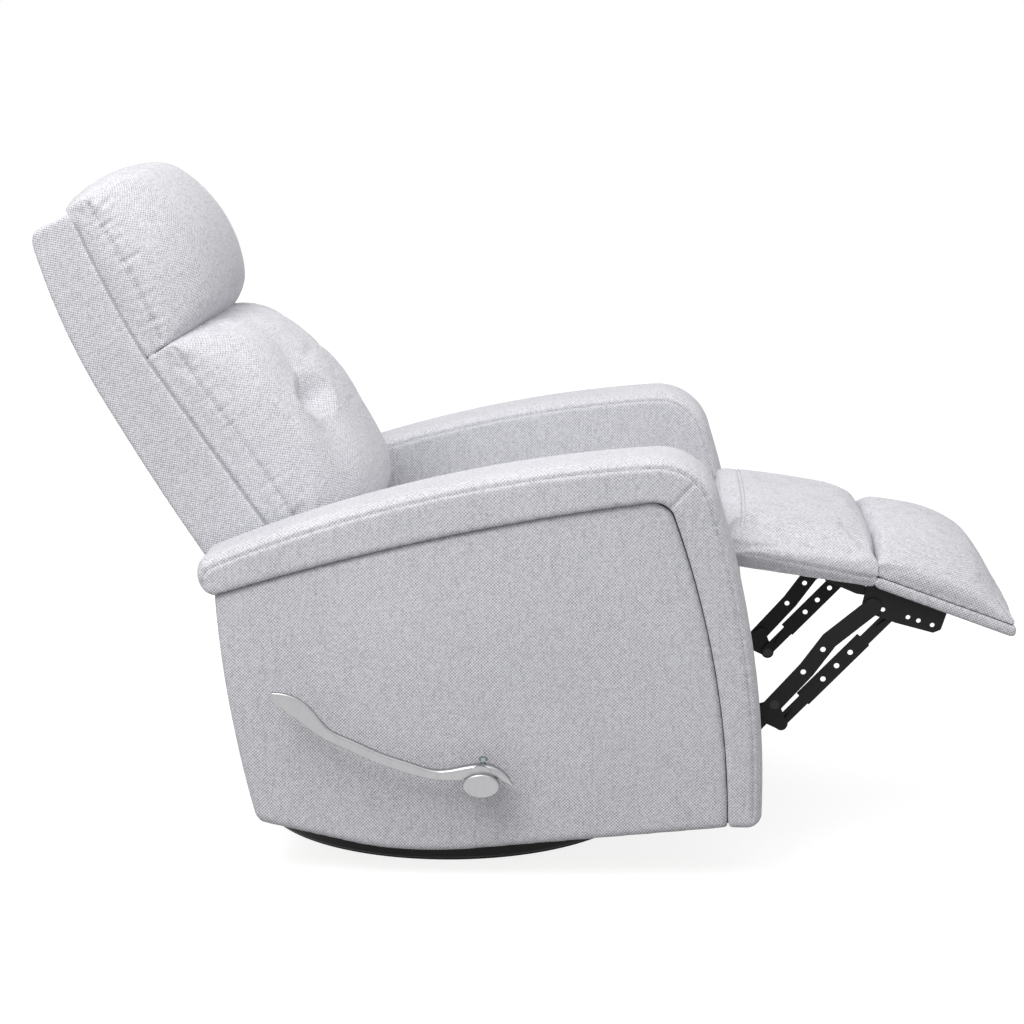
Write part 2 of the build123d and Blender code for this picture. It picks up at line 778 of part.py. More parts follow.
def back_frame_side(outer):
    """One side frame of the back, between the outside back and the cushions."""
    with BuildSketch(back_side(outer + 23)) as frame:
        with BuildLine():
            foot = Line((-94.5, back_low), (frame_front, back_low))
            front = Line(foot @ 1, (frame_front, 0))
            roof_low = back_top - brow_drop - wrap - back_fit
            brow = ThreePointArc(front @ 1, (frame_front + 14, 120), (frame_brow, roof_low))
            roof = Line(brow @ 1, (-20, back_top - wrap - back_fit))
            inner = ThreePointArc(roof @ 1, (-25, back_top - wrap - 2), (-31.5, back_top - 23))
            high = ThreePointArc(inner @ 1, (-65.5, 92), (-81.5, -28))
            ThreePointArc(high @ 1, (-91.5, -200), foot @ 0)
        make_face()
        hinge_n = (hinge_x - back_x) * cos(radians(back_lean)) + (hinge_z - back_z) * sin(radians(back_lean))
        hinge_t = (hinge_z - back_z) * cos(radians(back_lean)) - (hinge_x - back_x) * sin(radians(back_lean))
        holes([(hinge_n, hinge_t)], 9)
    return frame.sketch


with BuildPart() as back_side_right:
    extrude(back_frame_side(-back_half), amount=23)
back_side_right.part.label = "back_side_right"
export_step(back_side_right.part, "parts/back_side_right.step")

with BuildPart() as back_side_left:
    extrude(back_frame_side(back_half - 23), amount=23)
back_side_left.part.label = "back_side_left"
export_step(back_side_left.part, "parts/back_side_left.step")

with BuildPart() as back_rails:
    with BuildSketch(back_side(back_half - 23)):
        with Locations((-22, back_top - 48)):
            RectangleRounded(26, 44, 3)
        with Locations((-45, 10)):
            RectangleRounded(40, 60, 3)
        with Locations((-60, back_low * 0.41)):
            RectangleRounded(40, 60, 3)
    extrude(amount=2 * back_half - 46)
back_rails.part.label = "back_rails"
export_step(back_rails.part, "parts/back_rails.step")

with BuildPart() as back_webbing:
    strap_places = [back_low * share for share in (0.78, 0.56, 0.34, 0.156)]
    strap_places = strap_places + [back_top * share for share in (0.25, 0.54)]
    for t in strap_places:
        with BuildSketch(back_side(back_half - 23)):
            with Locations((frame_front - 1, t)):
                Rectangle(2, 52)
        extrude(amount=2 * back_half - 46)
back_webbing.part.label = "back_webbing"
export_step(back_webbing.part, "parts/back_webbing.step")


def head_section(y):
    """Upright profile of the headrest at y, against the side frames and over the rolled top."""
    rise = swell(y, back_half - 3)
    rear = frame_front + back_fit
    with BuildSketch(back_side(y)) as section:
        with BuildLine():
            sole = Line((rear, 1), (25 + 50 * rise, 1 - 6 * rise))
            chin = ThreePointArc(
                sole @ 1,
                (29 + 72 * rise, 8 - 4 * rise),
                (31 + 92 * rise, 20),
            )
            face = ThreePointArc(
                chin @ 1,
                (50 + (head_crown - 50) * rise, 118),
                (57 + 76 * rise, back_top - 18),
            )
            brow = ThreePointArc(
                face @ 1,
                (57 + 56 * rise, back_top - 6 + 9 * rise),
                (49 + 14 * rise, back_top + 16 * rise),
            )
            crown = ThreePointArc(
                brow @ 1,
                (38 + 2 * rise, back_top + 1 + 18 * rise),
                (frame_brow + back_fit, back_top - brow_drop + 6 + 10 * rise),
            )
            drop = Line(crown @ 1, (frame_brow + back_fit, back_top - brow_drop - wrap))
            ThreePointArc(drop @ 1, (rear + 14, 120), sole @ 0)
        make_face()
    return section.sketch


with BuildPart() as headrest:
    loft(sections=[head_section(share * (back_half - 3)) for share in pad_shares])
headrest.part.label = "headrest"
export_step(headrest.part, "parts/headrest.step")


def cushion_section(y, pull):
    """Upright profile of the back cushion at y, drawn in by pull at the tufts."""
    rise = swell(y, back_half - 3)
    waist = 38 + (cushion_crown - 38) * rise - pull
    rear = frame_front + back_fit
    with BuildSketch(back_side(y)) as section:
        with BuildLine():
            sole = Line((rear, -352 - 24 * rise), (26 + 30 * rise, -352 - 36 * rise))
            turn = ThreePointArc(
                sole @ 1,
                (34 + 74 * rise, -346 - 32 * rise),
                (37 + 96 * rise, -334 - 28 * rise),
            )
            lower = ThreePointArc(
                turn @ 1,
                (38.3 + 121 * rise - 0.1 * pull, -276),
                (waist, tuft_t),
            )
            upper = ThreePointArc(
                lower @ 1,
                (38.3 + 113 * rise - 0.1 * pull, -94),
                (37 + 80 * rise, -28),
            )
            brow = ThreePointArc(
                upper @ 1,
                (36 + 64 * rise, -9 - 3 * rise),
                (31 + 40 * rise, -0.5 - 5.5 * rise),
            )
            crown = Line(brow @ 1, (rear, 0))
            Line(crown @ 1, sole @ 0)
        make_face()
    return section.sketch


half_stations = [tuft_y - 62, tuft_y, tuft_y + 62, 0.93 * (back_half - 3), back_half - 3]
stations = [-y for y in reversed(half_stations)] + [0] + half_stations
with BuildPart() as back_cushion:
    loft(sections=[cushion_section(y, tuft_depth if abs(y) == tuft_y else 0) for y in stations])
back_cushion.part.label = "back_cushion"
export_step(back_cushion.part, "parts/back_cushion.step")


def back_ear(outer):
    """Steel ear that turns on the arm bolt and pushes the seat forward."""
    high = (
        hinge_x - 130 * sin(radians(back_lean)),
        hinge_z + 130 * cos(radians(back_lean)),
    )
    with BuildSketch(side(outer + 4)) as ear:
        bar((hinge_x, hinge_z), high, 46)
        bar((hinge_x, hinge_z), seat_pin, 26)
        with Locations((hinge_x, hinge_z)):
            Circle(25)
        holes([(hinge_x, hinge_z)], 8 + run_fit)
        holes([seat_pin], pivot_radius + 3.6)
        holes([along((hinge_x, hinge_z), high, 60), high], 4)
    return ear.sketch


with BuildPart() as back_ear_right:
    extrude(back_ear(-back_half + 23), amount=4)
back_ear_right.part.label = "back_ear_right"
export_step(back_ear_right.part, "parts/back_ear_right.step")

with BuildPart() as back_ear_left:
    extrude(back_ear(back_half - 27), amount=4)
back_ear_left.part.label = "back_ear_left"
export_step(back_ear_left.part, "parts/back_ear_left.step")


# Footrest linkage: four flat links a side, each in its own plane
def plane_faces(depth):
    """Near faces of the right and left links that lie depth in from the outermost."""
    outer = link_y + 9.5 - depth
    return -outer + plate, outer


def front_link(near):
    """First link: down from the seat pivot behind the arm, then out to the elbow of the two long links."""
    shin = along(front_pivot, elbow_low, drive_reach + 18)
    knee = (elbow_low_x - 58, elbow_low_z + 12)
    with BuildSketch(side(near)) as link:
        bar(front_pivot, shin, link_width)
        bar(shin, knee, link_width)
        Polygon(
            (knee[0] - 4, knee[1] - link_width / 2),
            (elbow_low_x - 24, elbow_low_z + 2),
            (elbow_low_x - 5, elbow_low_z - 7),
            (elbow_low_x + 6, elbow_low_z - 6),
            (elbow_low_x + 8, elbow_low_z + 4),
            (elbow_high_x + 8, elbow_high_z - 3),
            (elbow_high_x + 4, elbow_high_z + 8),
            (elbow_high_x - 8, elbow_high_z + 4),
            (knee[0] + 2, knee[1] + link_width / 2),
            align=None,
        )
        with Locations(elbow_high, elbow_low):
            Circle(9)
        holes([front_pivot], pivot_radius + run_fit)
        holes([along(shin, knee, 30), along(shin, knee, 58)], 4)
    return link.sketch


near_right, near_left = plane_faces(8)
with BuildPart() as front_link_right:
    extrude(front_link(near_right), amount=plate)
front_link_right.part.label = "front_link_right"
export_step(front_link_right.part, "parts/front_link_right.step")

with BuildPart() as front_link_left:
    extrude(front_link(near_left), amount=plate)
front_link_left.part.label = "front_link_left"
export_step(front_link_left.part, "parts/front_link_left.step")

with BuildPart() as elbow_rivets:
    pins([elbow_high], pivot_radius, link_y + 5.7, 4.2)
    pins([elbow_high], 7, link_y + 6.2, 0.5)
    pins([elbow_low], pivot_radius, link_y - 1.5, 4.2)
    pins([elbow_low], 7, link_y - 5.7, 0.8)
    pins([drive_pin], pivot_radius, link_y - 1.5, 6)
elbow_rivets.part.label = "elbow_rivets"
export_step(elbow_rivets.part, "parts/elbow_rivets.step")


def rear_link(near):
    """Second rocker, behind the first, that steers the upper link's tail."""
    with BuildSketch(side(near)) as link:
        bar(rear_pivot, tail, 22)
        holes([rear_pivot], pivot_radius + run_fit)
        holes([tail], pivot_radius)
    return link.sketch


near_right, near_left = plane_faces(0)
with BuildPart() as rear_link_right:
    extrude(rear_link(near_right), amount=plate)
rear_link_right.part.label = "rear_link_right"
export_step(rear_link_right.part, "parts/rear_link_right.step")

with BuildPart() as rear_link_left:
    extrude(rear_link(near_left), amount=plate)
rear_link_left.part.label = "rear_link_left"
export_step(rear_link_left.part, "parts/rear_link_left.step")


def upper_link(near):
    """Long upper link with a dog-leg under the footrest and two lightening holes."""
    knee_low = along(elbow_high, foot_rear, 70, 3)
    knee_high = along(elbow_high, foot_rear, 124, 10)
    with BuildSketch(side(near)) as link:
        bar(tail, knee_low, link_width)
        bar(knee_low, knee_high, link_width)
        bar(knee_high, foot_rear, link_width)
        holes([elbow_high], pivot_radius + run_fit)
        holes([along(elbow_high, foot_rear, 64, 4), along(elbow_high, foot_rear, 108, 7)], 4)
    return link.sketch


near_right, near_left = plane_faces(4)
with BuildPart() as upper_link_right:
    extrude(upper_link(near_right), amount=plate)
upper_link_right.part.label = "upper_link_right"
export_step(upper_link_right.part, "parts/upper_link_right.step")

with BuildPart() as upper_link_left:
    extrude(upper_link(near_left), amount=plate)
upper_link_left.part.label = "upper_link_left"
export_step(upper_link_left.part, "parts/upper_link_left.step")


def lower_link(near):
    """Long lower link, its middle stiffened by a wider stepped web with three holes."""
    web_first, web_last = 49, 174
    web_shift = 3.7
    middle = along(elbow_low, foot_front, (web_first + web_last) / 2, web_shift)
    turn = degrees(atan2(foot_front[1] - elbow_low[1], foot_front[0] - elbow_low[0]))
    with BuildSketch(side(near)) as link:
        bar(along(elbow_low, foot_front, 3, 2), along(elbow_low, foot_front, 231, 2), 17)
        with Locations(Location((middle[0], middle[1], 0), (0, 0, turn))):
            Rectangle(web_last - web_first, 24.7)
        with Locations(elbow_low, foot_front):
            Circle(10)
        holes([elbow_low, foot_front], pivot_radius + run_fit)
        web_holes = [along(elbow_low, foot_front, reach, web_shift) for reach in (91, 119, 147)]
        holes(web_holes, 4)
    return link.sketch


near_right, near_left = plane_faces(12)
with BuildPart() as lower_link_right:
    extrude(lower_link(near_right), amount=plate)
lower_link_right.part.label = "lower_link_right"
export_step(lower_link_right.part, "parts/lower_link_right.step")

with BuildPart() as lower_link_left:
    extrude(lower_link(near_left), amount=plate)
lower_link_left.part.label = "lower_link_left"
export_step(lower_link_left.part, "parts/lower_link_left.step")


# Footrest: brackets under a covered board, the end pad, and the hinged middle pad
def footrest_bracket(near, sign):
    """Angle bracket under the end board, with a hinge tab rising to the crease."""
    with BuildSketch(foot_side(near)) as web:
        Polygon(
            (-3, 0), (114, 0), (115, -29), (106, -37), (50, -42), (4, -42), (-5, -34), (-8, -10), align=None
        )
        with Locations((0, -10)):
            Circle(9)
        fillet(vertices().group_by(Axis.X)[-1], 5)
        for reach, drop in ((26, 30), (64, 28), (80, 27.5), (101, 26.7)):
            with Locations((reach, -drop)):
                Circle(3.4, mode=Mode.SUBTRACT)
    inner = near - plate if sign > 0 else near + 22
    with BuildSketch(foot_side(inner)) as flange:
        with Locations((62, -1.5)):
            Rectangle(100, plate)
    return web.sketch, flange.sketch


near_right, near_left = plane_faces(8)
with BuildPart() as footrest_bracket_right:
    web, flange = footrest_bracket(near_right, -1)
    extrude(web, amount=plate)
    extrude(flange, amount=22)
footrest_bracket_right.part.label = "footrest_bracket_right"
export_step(footrest_bracket_right.part, "parts/footrest_bracket_right.step")

with BuildPart() as footrest_bracket_left:
    web, flange = footrest_bracket(near_left, 1)
    extrude(web, amount=plate)
    extrude(flange, amount=22)
footrest_bracket_left.part.label = "footrest_bracket_left"
export_step(footrest_bracket_left.part, "parts/footrest_bracket_left.step")

with BuildPart() as footrest_rivets:
    pins([foot_front], pivot_radius, link_y - 1.5, 4.2)
    pins([foot_front], 7, link_y - 5.7, 0.8)
    pins([crease_pin], 3.5, link_y - 1.5, 5)
footrest_rivets.part.label = "footrest_rivets"
export_step(footrest_rivets.part, "parts/footrest_rivets.step")

with BuildPart() as footrest_board:
    with BuildSketch(foot_side(pad_half)):
        with Locations((foot_length / 2 + 4, board / 2)):
            RectangleRounded(foot_length - 4, board, 6)
    extrude(amount=2 * pad_half)
footrest_board.part.label = "footrest_board"
export_step(footrest_board.part, "parts/footrest_board.step")


def foot_section(y):
    """Crease to toe profile of the end pad at y."""
    rise = swell(y, pad_half)
    with BuildSketch(foot_side(y)) as section:
        with BuildLine():
            base = Line((crease_gap + 3, board), (foot_length - 2, board))
            toe = ThreePointArc(
                base @ 1,
                (foot_length + 1, board + 7 + 4 * rise),
                (foot_length - 9, board + 16 + 16 * rise),
            )
            top = ThreePointArc(
                toe @ 1,
                (foot_length * 0.5, 46 + (foot_crown - 46) * rise),
                (crease_gap + 12, 42 + 36 * rise),
            )
            heel = ThreePointArc(top @ 1, (crease_gap + 3, 36 + 27 * rise), (crease_gap, 28 + 12 * rise))
            Line(heel @ 1, base @ 0)
        make_face()
    return section.sketch


with BuildPart() as footrest_pad:
    loft(sections=[foot_section(share * pad_half) for share in pad_shares])
footrest_pad.part.label = "footrest_pad"
export_step(footrest_pad.part, "parts/footrest_pad.step")

with BuildPart() as mid_board:
    with BuildSketch(mid_side(pad_half)):
        with BuildLine():
            floor = Line((-mid_length + 16, 0), (-6, 0))
            fore = Line(floor @ 1, (-6, board))
            roof = Line(fore @ 1, (-mid_length + 8, board))
            Line(roof @ 1, floor @ 0)
        make_face()
    extrude(amount=2 * pad_half)
mid_board.part.label = "mid_board"
export_step(mid_board.part, "parts/mid_board.step")


def mid_section(y):
    """Seat to crease profile of the middle pad at y, with a tongue back towards the seat."""
    rise = swell(y, pad_half)
    tip = -mid_length - mid_tongue
    with BuildSketch(mid_side(y)) as section:
        with BuildLine():
            base = Line((-mid_length + 8, board), (-crease_gap - 3, board))
            fore = ThreePointArc(base @ 1, (-crease_gap - 1, 24 + 10 * rise), (-crease_gap, 34 + 20 * rise))
            edge = ThreePointArc(
                fore @ 1,
                (-crease_gap - 4, 41 + 27 * rise),
                (-crease_gap - 14, 43 + 33 * rise),
            )
            top = ThreePointArc(
                edge @ 1,
                (-mid_length * 0.5, 46 + (mid_crown - 46) * rise),
                (-mid_length, 45 + 32 * rise),
            )
            tongue = ThreePointArc(top @ 1, (tip, 38 + 26 * rise), (-mid_length - 2, 32 + 15 * rise))
            Line(tongue @ 1, base @ 0)
        make_face()
    return section.sketch


with BuildPart() as mid_pad:
    loft(sections=[mid_section(share * pad_half) for share in pad_shares])
mid_pad.part.label = "mid_pad"
export_step(mid_pad.part, "parts/mid_pad.step")

with BuildPart() as mid_hinges:
    near_right, near_left = plane_faces(12)
    for near in (near_right, near_left):
        with BuildSketch(mid_side(near)):
            Polygon((-70, 0), (-14, 0), (-2, -18), (-22, -18), (-70, -5), align=None)
            hinge_m = (crease_pin[0] - crease_x) * cos(radians(mid_lean))
            hinge_m = hinge_m + (crease_pin[1] - crease_z) * sin(radians(mid_lean))
            hinge_v = (crease_pin[1] - crease_z) * cos(radians(mid_lean))
            hinge_v = hinge_v - (crease_pin[0] - crease_x) * sin(radians(mid_lean))
            with Locations((hinge_m, hinge_v)):
                Circle(9)
            holes([(hinge_m, hinge_v)], 3.5 + run_fit)
        extrude(amount=plate)
mid_hinges.part.label = "mid_hinges"
export_step(mid_hinges.part, "parts/mid_hinges.step")
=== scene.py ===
"""Dresses the swivel recliner: padded tweed, sewn seams, a black steel linkage and a satin lever."""

import json
import logging
import math
from collections.abc import Callable, Iterable, Sequence
from dataclasses import dataclass
from enum import Enum

import bmesh
import bpy
import numpy as np
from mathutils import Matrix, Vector, kdtree
from mathutils.bvhtree import BVHTree


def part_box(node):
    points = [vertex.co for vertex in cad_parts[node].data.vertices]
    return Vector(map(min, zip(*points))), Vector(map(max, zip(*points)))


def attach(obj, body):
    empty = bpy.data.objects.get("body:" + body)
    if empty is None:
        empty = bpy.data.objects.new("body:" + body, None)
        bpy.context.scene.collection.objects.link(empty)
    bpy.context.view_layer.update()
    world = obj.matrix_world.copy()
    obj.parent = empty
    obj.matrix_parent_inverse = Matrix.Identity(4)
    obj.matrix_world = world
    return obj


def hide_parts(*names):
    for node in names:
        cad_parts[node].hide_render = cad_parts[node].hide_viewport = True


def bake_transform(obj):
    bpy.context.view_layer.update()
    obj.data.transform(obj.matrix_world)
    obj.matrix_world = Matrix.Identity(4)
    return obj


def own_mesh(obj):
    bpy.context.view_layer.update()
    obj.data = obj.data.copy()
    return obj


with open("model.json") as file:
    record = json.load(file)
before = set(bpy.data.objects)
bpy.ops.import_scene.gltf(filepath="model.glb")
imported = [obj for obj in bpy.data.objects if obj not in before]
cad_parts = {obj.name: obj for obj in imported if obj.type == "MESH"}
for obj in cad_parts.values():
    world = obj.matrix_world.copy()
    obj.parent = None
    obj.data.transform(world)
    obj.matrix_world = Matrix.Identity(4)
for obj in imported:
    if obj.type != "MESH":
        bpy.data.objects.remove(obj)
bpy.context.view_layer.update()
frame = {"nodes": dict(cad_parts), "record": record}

LOG = logging.getLogger("recliner")
SIDES = (("right", -1), ("left", 1))
WHITE = (1.0, 1.0, 1.0, 1.0)
WELD = 1e-5
FLAT = 2e-4
LINE_STEP = 0.002
DROP_HEIGHT = 0.1
LAST_EVEN = 2
BUMP_SHARE = 0.5
SMOOTH_SHARE = 0.5
GROOVE_FAR = 3.0
GATHER_FAR = 2.5
STRIP_COLUMNS = 9
STRIP_THICK = 0.002

Piece = bpy.types.Object
Socket = bpy.types.NodeSocket
Colour = tuple[float, float, float]
Pair = tuple[float, float]
Keep = Callable[[np.ndarray], np.ndarray]
Hold = Callable[[np.ndarray, np.ndarray], np.ndarray]


# Finishes


class Shader:
    """Wires the nodes of one material."""

    def __init__(self, name: str) -> None:
        """Starts a material.

        Args:
            name: Name of the material.
        """
        self.material = bpy.data.materials.new(name)
        self.material.use_nodes = True
        self.nodes = self.material.node_tree.nodes
        self.links = self.material.node_tree.links
        self.surface = self.nodes["Principled BSDF"]

    def feed(self, socket: Socket, value: object) -> None:
        """Links an input to another socket, or sets its value.

        Args:
            socket: The input.
            value: Socket or value that it takes.
        """
        if isinstance(value, Socket):
            self.links.new(value, socket)
        else:
            socket.default_value = value

    def node(self, kind: str, **settings: object) -> bpy.types.Node:
        """Adds a node.

        Args:
            kind: Short node type, such as TexNoise.
            settings: Attributes to set, or what inputs take, by their name with _ for a space.

        Returns:
            The new node.
        """
        made = self.nodes.new("ShaderNode" + kind)
        for key, value in settings.items():
            name = key.replace("_", " ")
            if name in made.inputs:
                self.feed(made.inputs[name], value)
            else:
                setattr(made, key, value)
        return made

    def math(self, operation: str, *values: object) -> Socket:
        """Adds one sum.

        Args:
            operation: Blender's name for the sum.
            values: Sockets or numbers that it takes.

        Returns:
            The result's socket.
        """
        made = self.node("Math", operation=operation)
        for socket, value in zip(made.inputs, values):
            self.feed(socket, value)
        return made.outputs[0]

    def turned(self, turn: float, what: str) -> Socket:
        """Gives one of the piece's vectors, turned about the chair's cross axis.

        Args:
            turn: Turn in radians.
            what: Object for its own coordinates, or Normal for the way that it faces.

        Returns:
            The vector's socket.
        """
        vector = self.node("TexCoord").outputs[what]
        return self.node("VectorRotate", rotation_type="Y_AXIS", Angle=turn, Vector=vector).outputs[0]

    def place(self, turn: float, scale: Sequence[float]) -> Socket:
        """Gives the piece's own coordinates, turned and scaled.

        Args:
            turn: Turn in radians.
            scale: Repeats per metre along each axis.

        Returns:
            The vector's socket.
        """
        scaled = self.node("VectorMath", operation="MULTIPLY", Vector=self.turned(turn, "Object"))
        scaled.inputs[1].default_value = tuple(scale)
        return scaled.outputs[0]

    def noise(self, vector: Socket, detail: float, roughness: float = 0.55) -> Socket:
        """Adds noise at the scale of its vector.

        Args:
            vector: Where to read the noise.
            detail: Octaves.
            roughness: Weight of the finer octaves.

        Returns:
            The noise's value, from 0 to 1.
        """
        made = self.node("TexNoise", Scale=1.0, Detail=detail, Roughness=roughness, Vector=vector)
        return made.outputs[0]

    def spread(self, value: Socket, low: float, high: float) -> Socket:
        """Stretches a band of values to 0 and 1.

        Args:
            value: Socket to stretch.
            low: Value that becomes 0.
            high: Value that becomes 1.

        Returns:
            The stretched socket.
        """
        return self.node("MapRange", From_Min=low, From_Max=high, Value=value).outputs["Result"]

    def blend(self, share: Socket, first: Colour, second: Colour) -> Socket:
        """Mixes two colours.

        Args:
            share: Share of the second colour.
            first: First colour.
            second: Second colour.

        Returns:
            The mixed colour's socket.
        """
        made = self.node("Mix", data_type="RGBA")
        made.inputs[6].default_value = (*first, 1.0)
        made.inputs[7].default_value = (*second, 1.0)
        self.links.new(share, made.inputs[0])
        return made.outputs[2]

    def bump(self, height: Socket, distance: float) -> Socket:
        """Raises the surface by a height.

        Args:
            height: Socket of the height.
            distance: Height of 1, in metres.

        Returns:
            The raised surface's normal.
        """
        return self.node("Bump", Distance=distance, Strength=BUMP_SHARE, Height=height).outputs[0]

    def finish(self, **inputs: object) -> bpy.types.Material:
        """Feeds the surface.

        Args:
            inputs: What its inputs take, by their name with _ for a space.

        Returns:
            The finished material.
        """
        for key, value in inputs.items():
            self.feed(self.surface.inputs[key.replace("_", " ")], value)
        return self.material


class Grain(Enum):
    """Cut of the fabric: lean of its yarn in degrees, and the axis that the slubs run along."""

    UPRIGHT = (0.0, "up")
    BACK = (35.0, "across")
    SEAT = (6.27, "across")
    MIDDLE = (-7.9, "across")
    END = (-19.6, "across")

    @property
    def turn(self) -> float:
        """Lean in radians, as the pattern is turned back by it."""
        return math.radians(self.value[0])

    def stretch(self, fine: float, long: float) -> tuple[float, float, float]:
        """Gives noise scales that are long along the slubs and fine across them."""
        return (fine, fine, long) if self.value[1] == "up" else (long, long, fine)


@dataclass(frozen=True)
class Tweed:
    """Pale heathered tweed in a basket weave, with slubs along one yarn."""

    slot: str = "upholstery"
    pale: Colour = (0.80, 0.798, 0.838)
    dark: Colour = (0.34, 0.34, 0.365)
    weave: float = 0.0046
    wander: float = 0.0011
    wander_scale: float = 45.0
    fibre: Pair = (520.0, 260.0)
    fibre_roughness: float = 0.7
    fibre_band: Pair = (0.3, 0.72)
    fibre_relief: float = 0.8
    slub: Pair = (260.0, 34.0)
    slub_band: Pair = (0.5, 0.78)
    tone: float = 6.0
    detail: float = 2.0
    crossing_weight: float = 0.36
    fibre_weight: float = 0.18
    slub_weight: float = 0.17
    weave_weight: float = -0.42
    tone_weight: float = 0.2
    dark_band: Pair = (-0.04, 0.86)
    facing_power: float = 4.0
    roughness: float = 0.92
    specular: float = 0.2
    sheen: float = 0.15
    sheen_roughness: float = 0.45
    relief: float = 0.0007

    def make(self, grain: Grain) -> bpy.types.Material:
        """Makes the fabric for one cut.

        Args:
            grain: Way that the yarn runs.

        Returns:
            The material.
        """
        shader = Shader("tweed_" + grain.name.lower())
        fibre = shader.noise(
            shader.place(grain.turn, grain.stretch(*self.fibre)), self.detail, self.fibre_roughness
        )
        slub = shader.noise(shader.place(grain.turn, grain.stretch(*self.slub)), self.detail)
        tone = shader.noise(shader.place(grain.turn, (self.tone,) * 3), self.detail)
        spots = self.yarn(shader, grain)
        weave = self.weave_height(shader, grain, spots)
        parts = (
            (self.crossing(shader, spots), self.crossing_weight),
            (shader.spread(fibre, *self.fibre_band), self.fibre_weight),
            (shader.spread(slub, *self.slub_band), self.slub_weight),
            (weave, self.weave_weight),
        )
        share = shader.math("MULTIPLY", shader.math("SUBTRACT", tone, 0.5), self.tone_weight)
        for value, weight in parts:
            share = shader.math("ADD", share, shader.math("MULTIPLY", value, weight))
        share = shader.spread(share, *self.dark_band)
        height = shader.math("ADD", weave, shader.math("MULTIPLY", fibre, self.fibre_relief))
        return shader.finish(
            Base_Color=shader.blend(share, self.pale, self.dark),
            Normal=shader.bump(height, self.relief),
            Roughness=self.roughness,
            Specular_IOR_Level=self.specular,
            Sheen_Weight=self.sheen,
            Sheen_Roughness=self.sheen_roughness,
        )

    def yarn(self, shader: Shader, grain: Grain) -> Socket:
        """Counts along the yarns, which wander a little.

        Args:
            shader: Shader to add to.
            grain: Way that the yarn runs.

        Returns:
            Vector that grows by 1 from one repeat of the weave to the next.
        """
        vector = shader.place(grain.turn, (self.wander_scale,) * 3)
        wander = shader.node("TexNoise", Scale=1.0, Detail=1.0, Vector=vector).outputs["Color"]
        shift = shader.node("VectorMath", operation="SCALE", Vector=wander, Scale=self.wander / self.weave)
        straight = shader.place(grain.turn, (1 / self.weave,) * 3)
        moved = shader.node("VectorMath", operation="ADD", Vector=straight)
        shader.feed(moved.inputs[1], shift.outputs[0])
        return moved.outputs[0]

    def crossing(self, shader: Shader, spots: Socket) -> Socket:
        """Gives each crossing of two yarns a tone of its own.

        Args:
            shader: Shader to add to.
            spots: Count along the yarns.

        Returns:
            Tone from 0 to 1.
        """
        halves = shader.node("VectorMath", operation="SCALE", Vector=spots, Scale=2.0)
        cell = shader.node("VectorMath", operation="FLOOR", Vector=halves.outputs[0])
        chance = shader.node("TexWhiteNoise", noise_dimensions="3D", Vector=cell.outputs[0])
        return chance.outputs["Value"]

    def weave_height(self, shader: Shader, grain: Grain, spots: Socket) -> Socket:
        """Makes the over and under of the basket weave on a surface that faces any way.

        Args:
            shader: Shader to add to.
            grain: Way that the yarn runs.
            spots: Count along the yarns.

        Returns:
            Height from about -1 to 1.
        """
        turns = shader.node("VectorMath", operation="SCALE", Vector=spots, Scale=2 * math.pi)
        waves = shader.node("SeparateXYZ", Vector=turns.outputs[0])
        sines = [shader.math("SINE", wave) for wave in waves.outputs]
        facing = shader.node("SeparateXYZ", Vector=shader.turned(grain.turn, "Normal"))
        height = total = 0.0
        for axis in range(3):
            weight = shader.math("POWER", shader.math("ABSOLUTE", facing.outputs[axis]), self.facing_power)
            cells = shader.math("MULTIPLY", sines[(axis + 1) % 3], sines[(axis + 2) % 3])
            height = shader.math("ADD", height, shader.math("MULTIPLY", cells, weight))
            total = shader.math("ADD", total, weight)
        return shader.math("DIVIDE", height, total)


@dataclass(frozen=True)
class Mottled:
    """Plain finish with a fine mottle of colour, gloss and relief."""

    slot: str
    base: Colour
    fleck: Colour
    roughness: Pair
    metallic: float = 0.0
    scale: tuple[float, float, float] = (160.0, 160.0, 160.0)
    relief: float = 0.00008
    specular: float = 0.5
    name: str = ""
    speck_detail: float = 4.0
    speck_roughness: float = 0.6
    broad_detail: float = 3.0
    broader: float = 9.0
    fleck_band: Pair = (0.12, 0.42)

    def make(self) -> bpy.types.Material:
        """Makes the material, named after its slot where it has no name of its own.

        Returns:
            The material.
        """
        shader = Shader(self.name or self.slot)
        speck = shader.noise(shader.place(0.0, self.scale), self.speck_detail, self.speck_roughness)
        broad_scale = [value / self.broader for value in self.scale]
        broad = shader.noise(shader.place(0.0, broad_scale), self.broad_detail)
        share = shader.spread(shader.math("MULTIPLY", speck, broad), *self.fleck_band)
        low, high = self.roughness
        return shader.finish(
            Base_Color=shader.blend(share, self.base, self.fleck),
            Roughness=shader.node("MapRange", To_Min=low, To_Max=high, Value=broad).outputs[0],
            Normal=shader.bump(speck, self.relief),
            Metallic=self.metallic,
            Specular_IOR_Level=self.specular,
        )


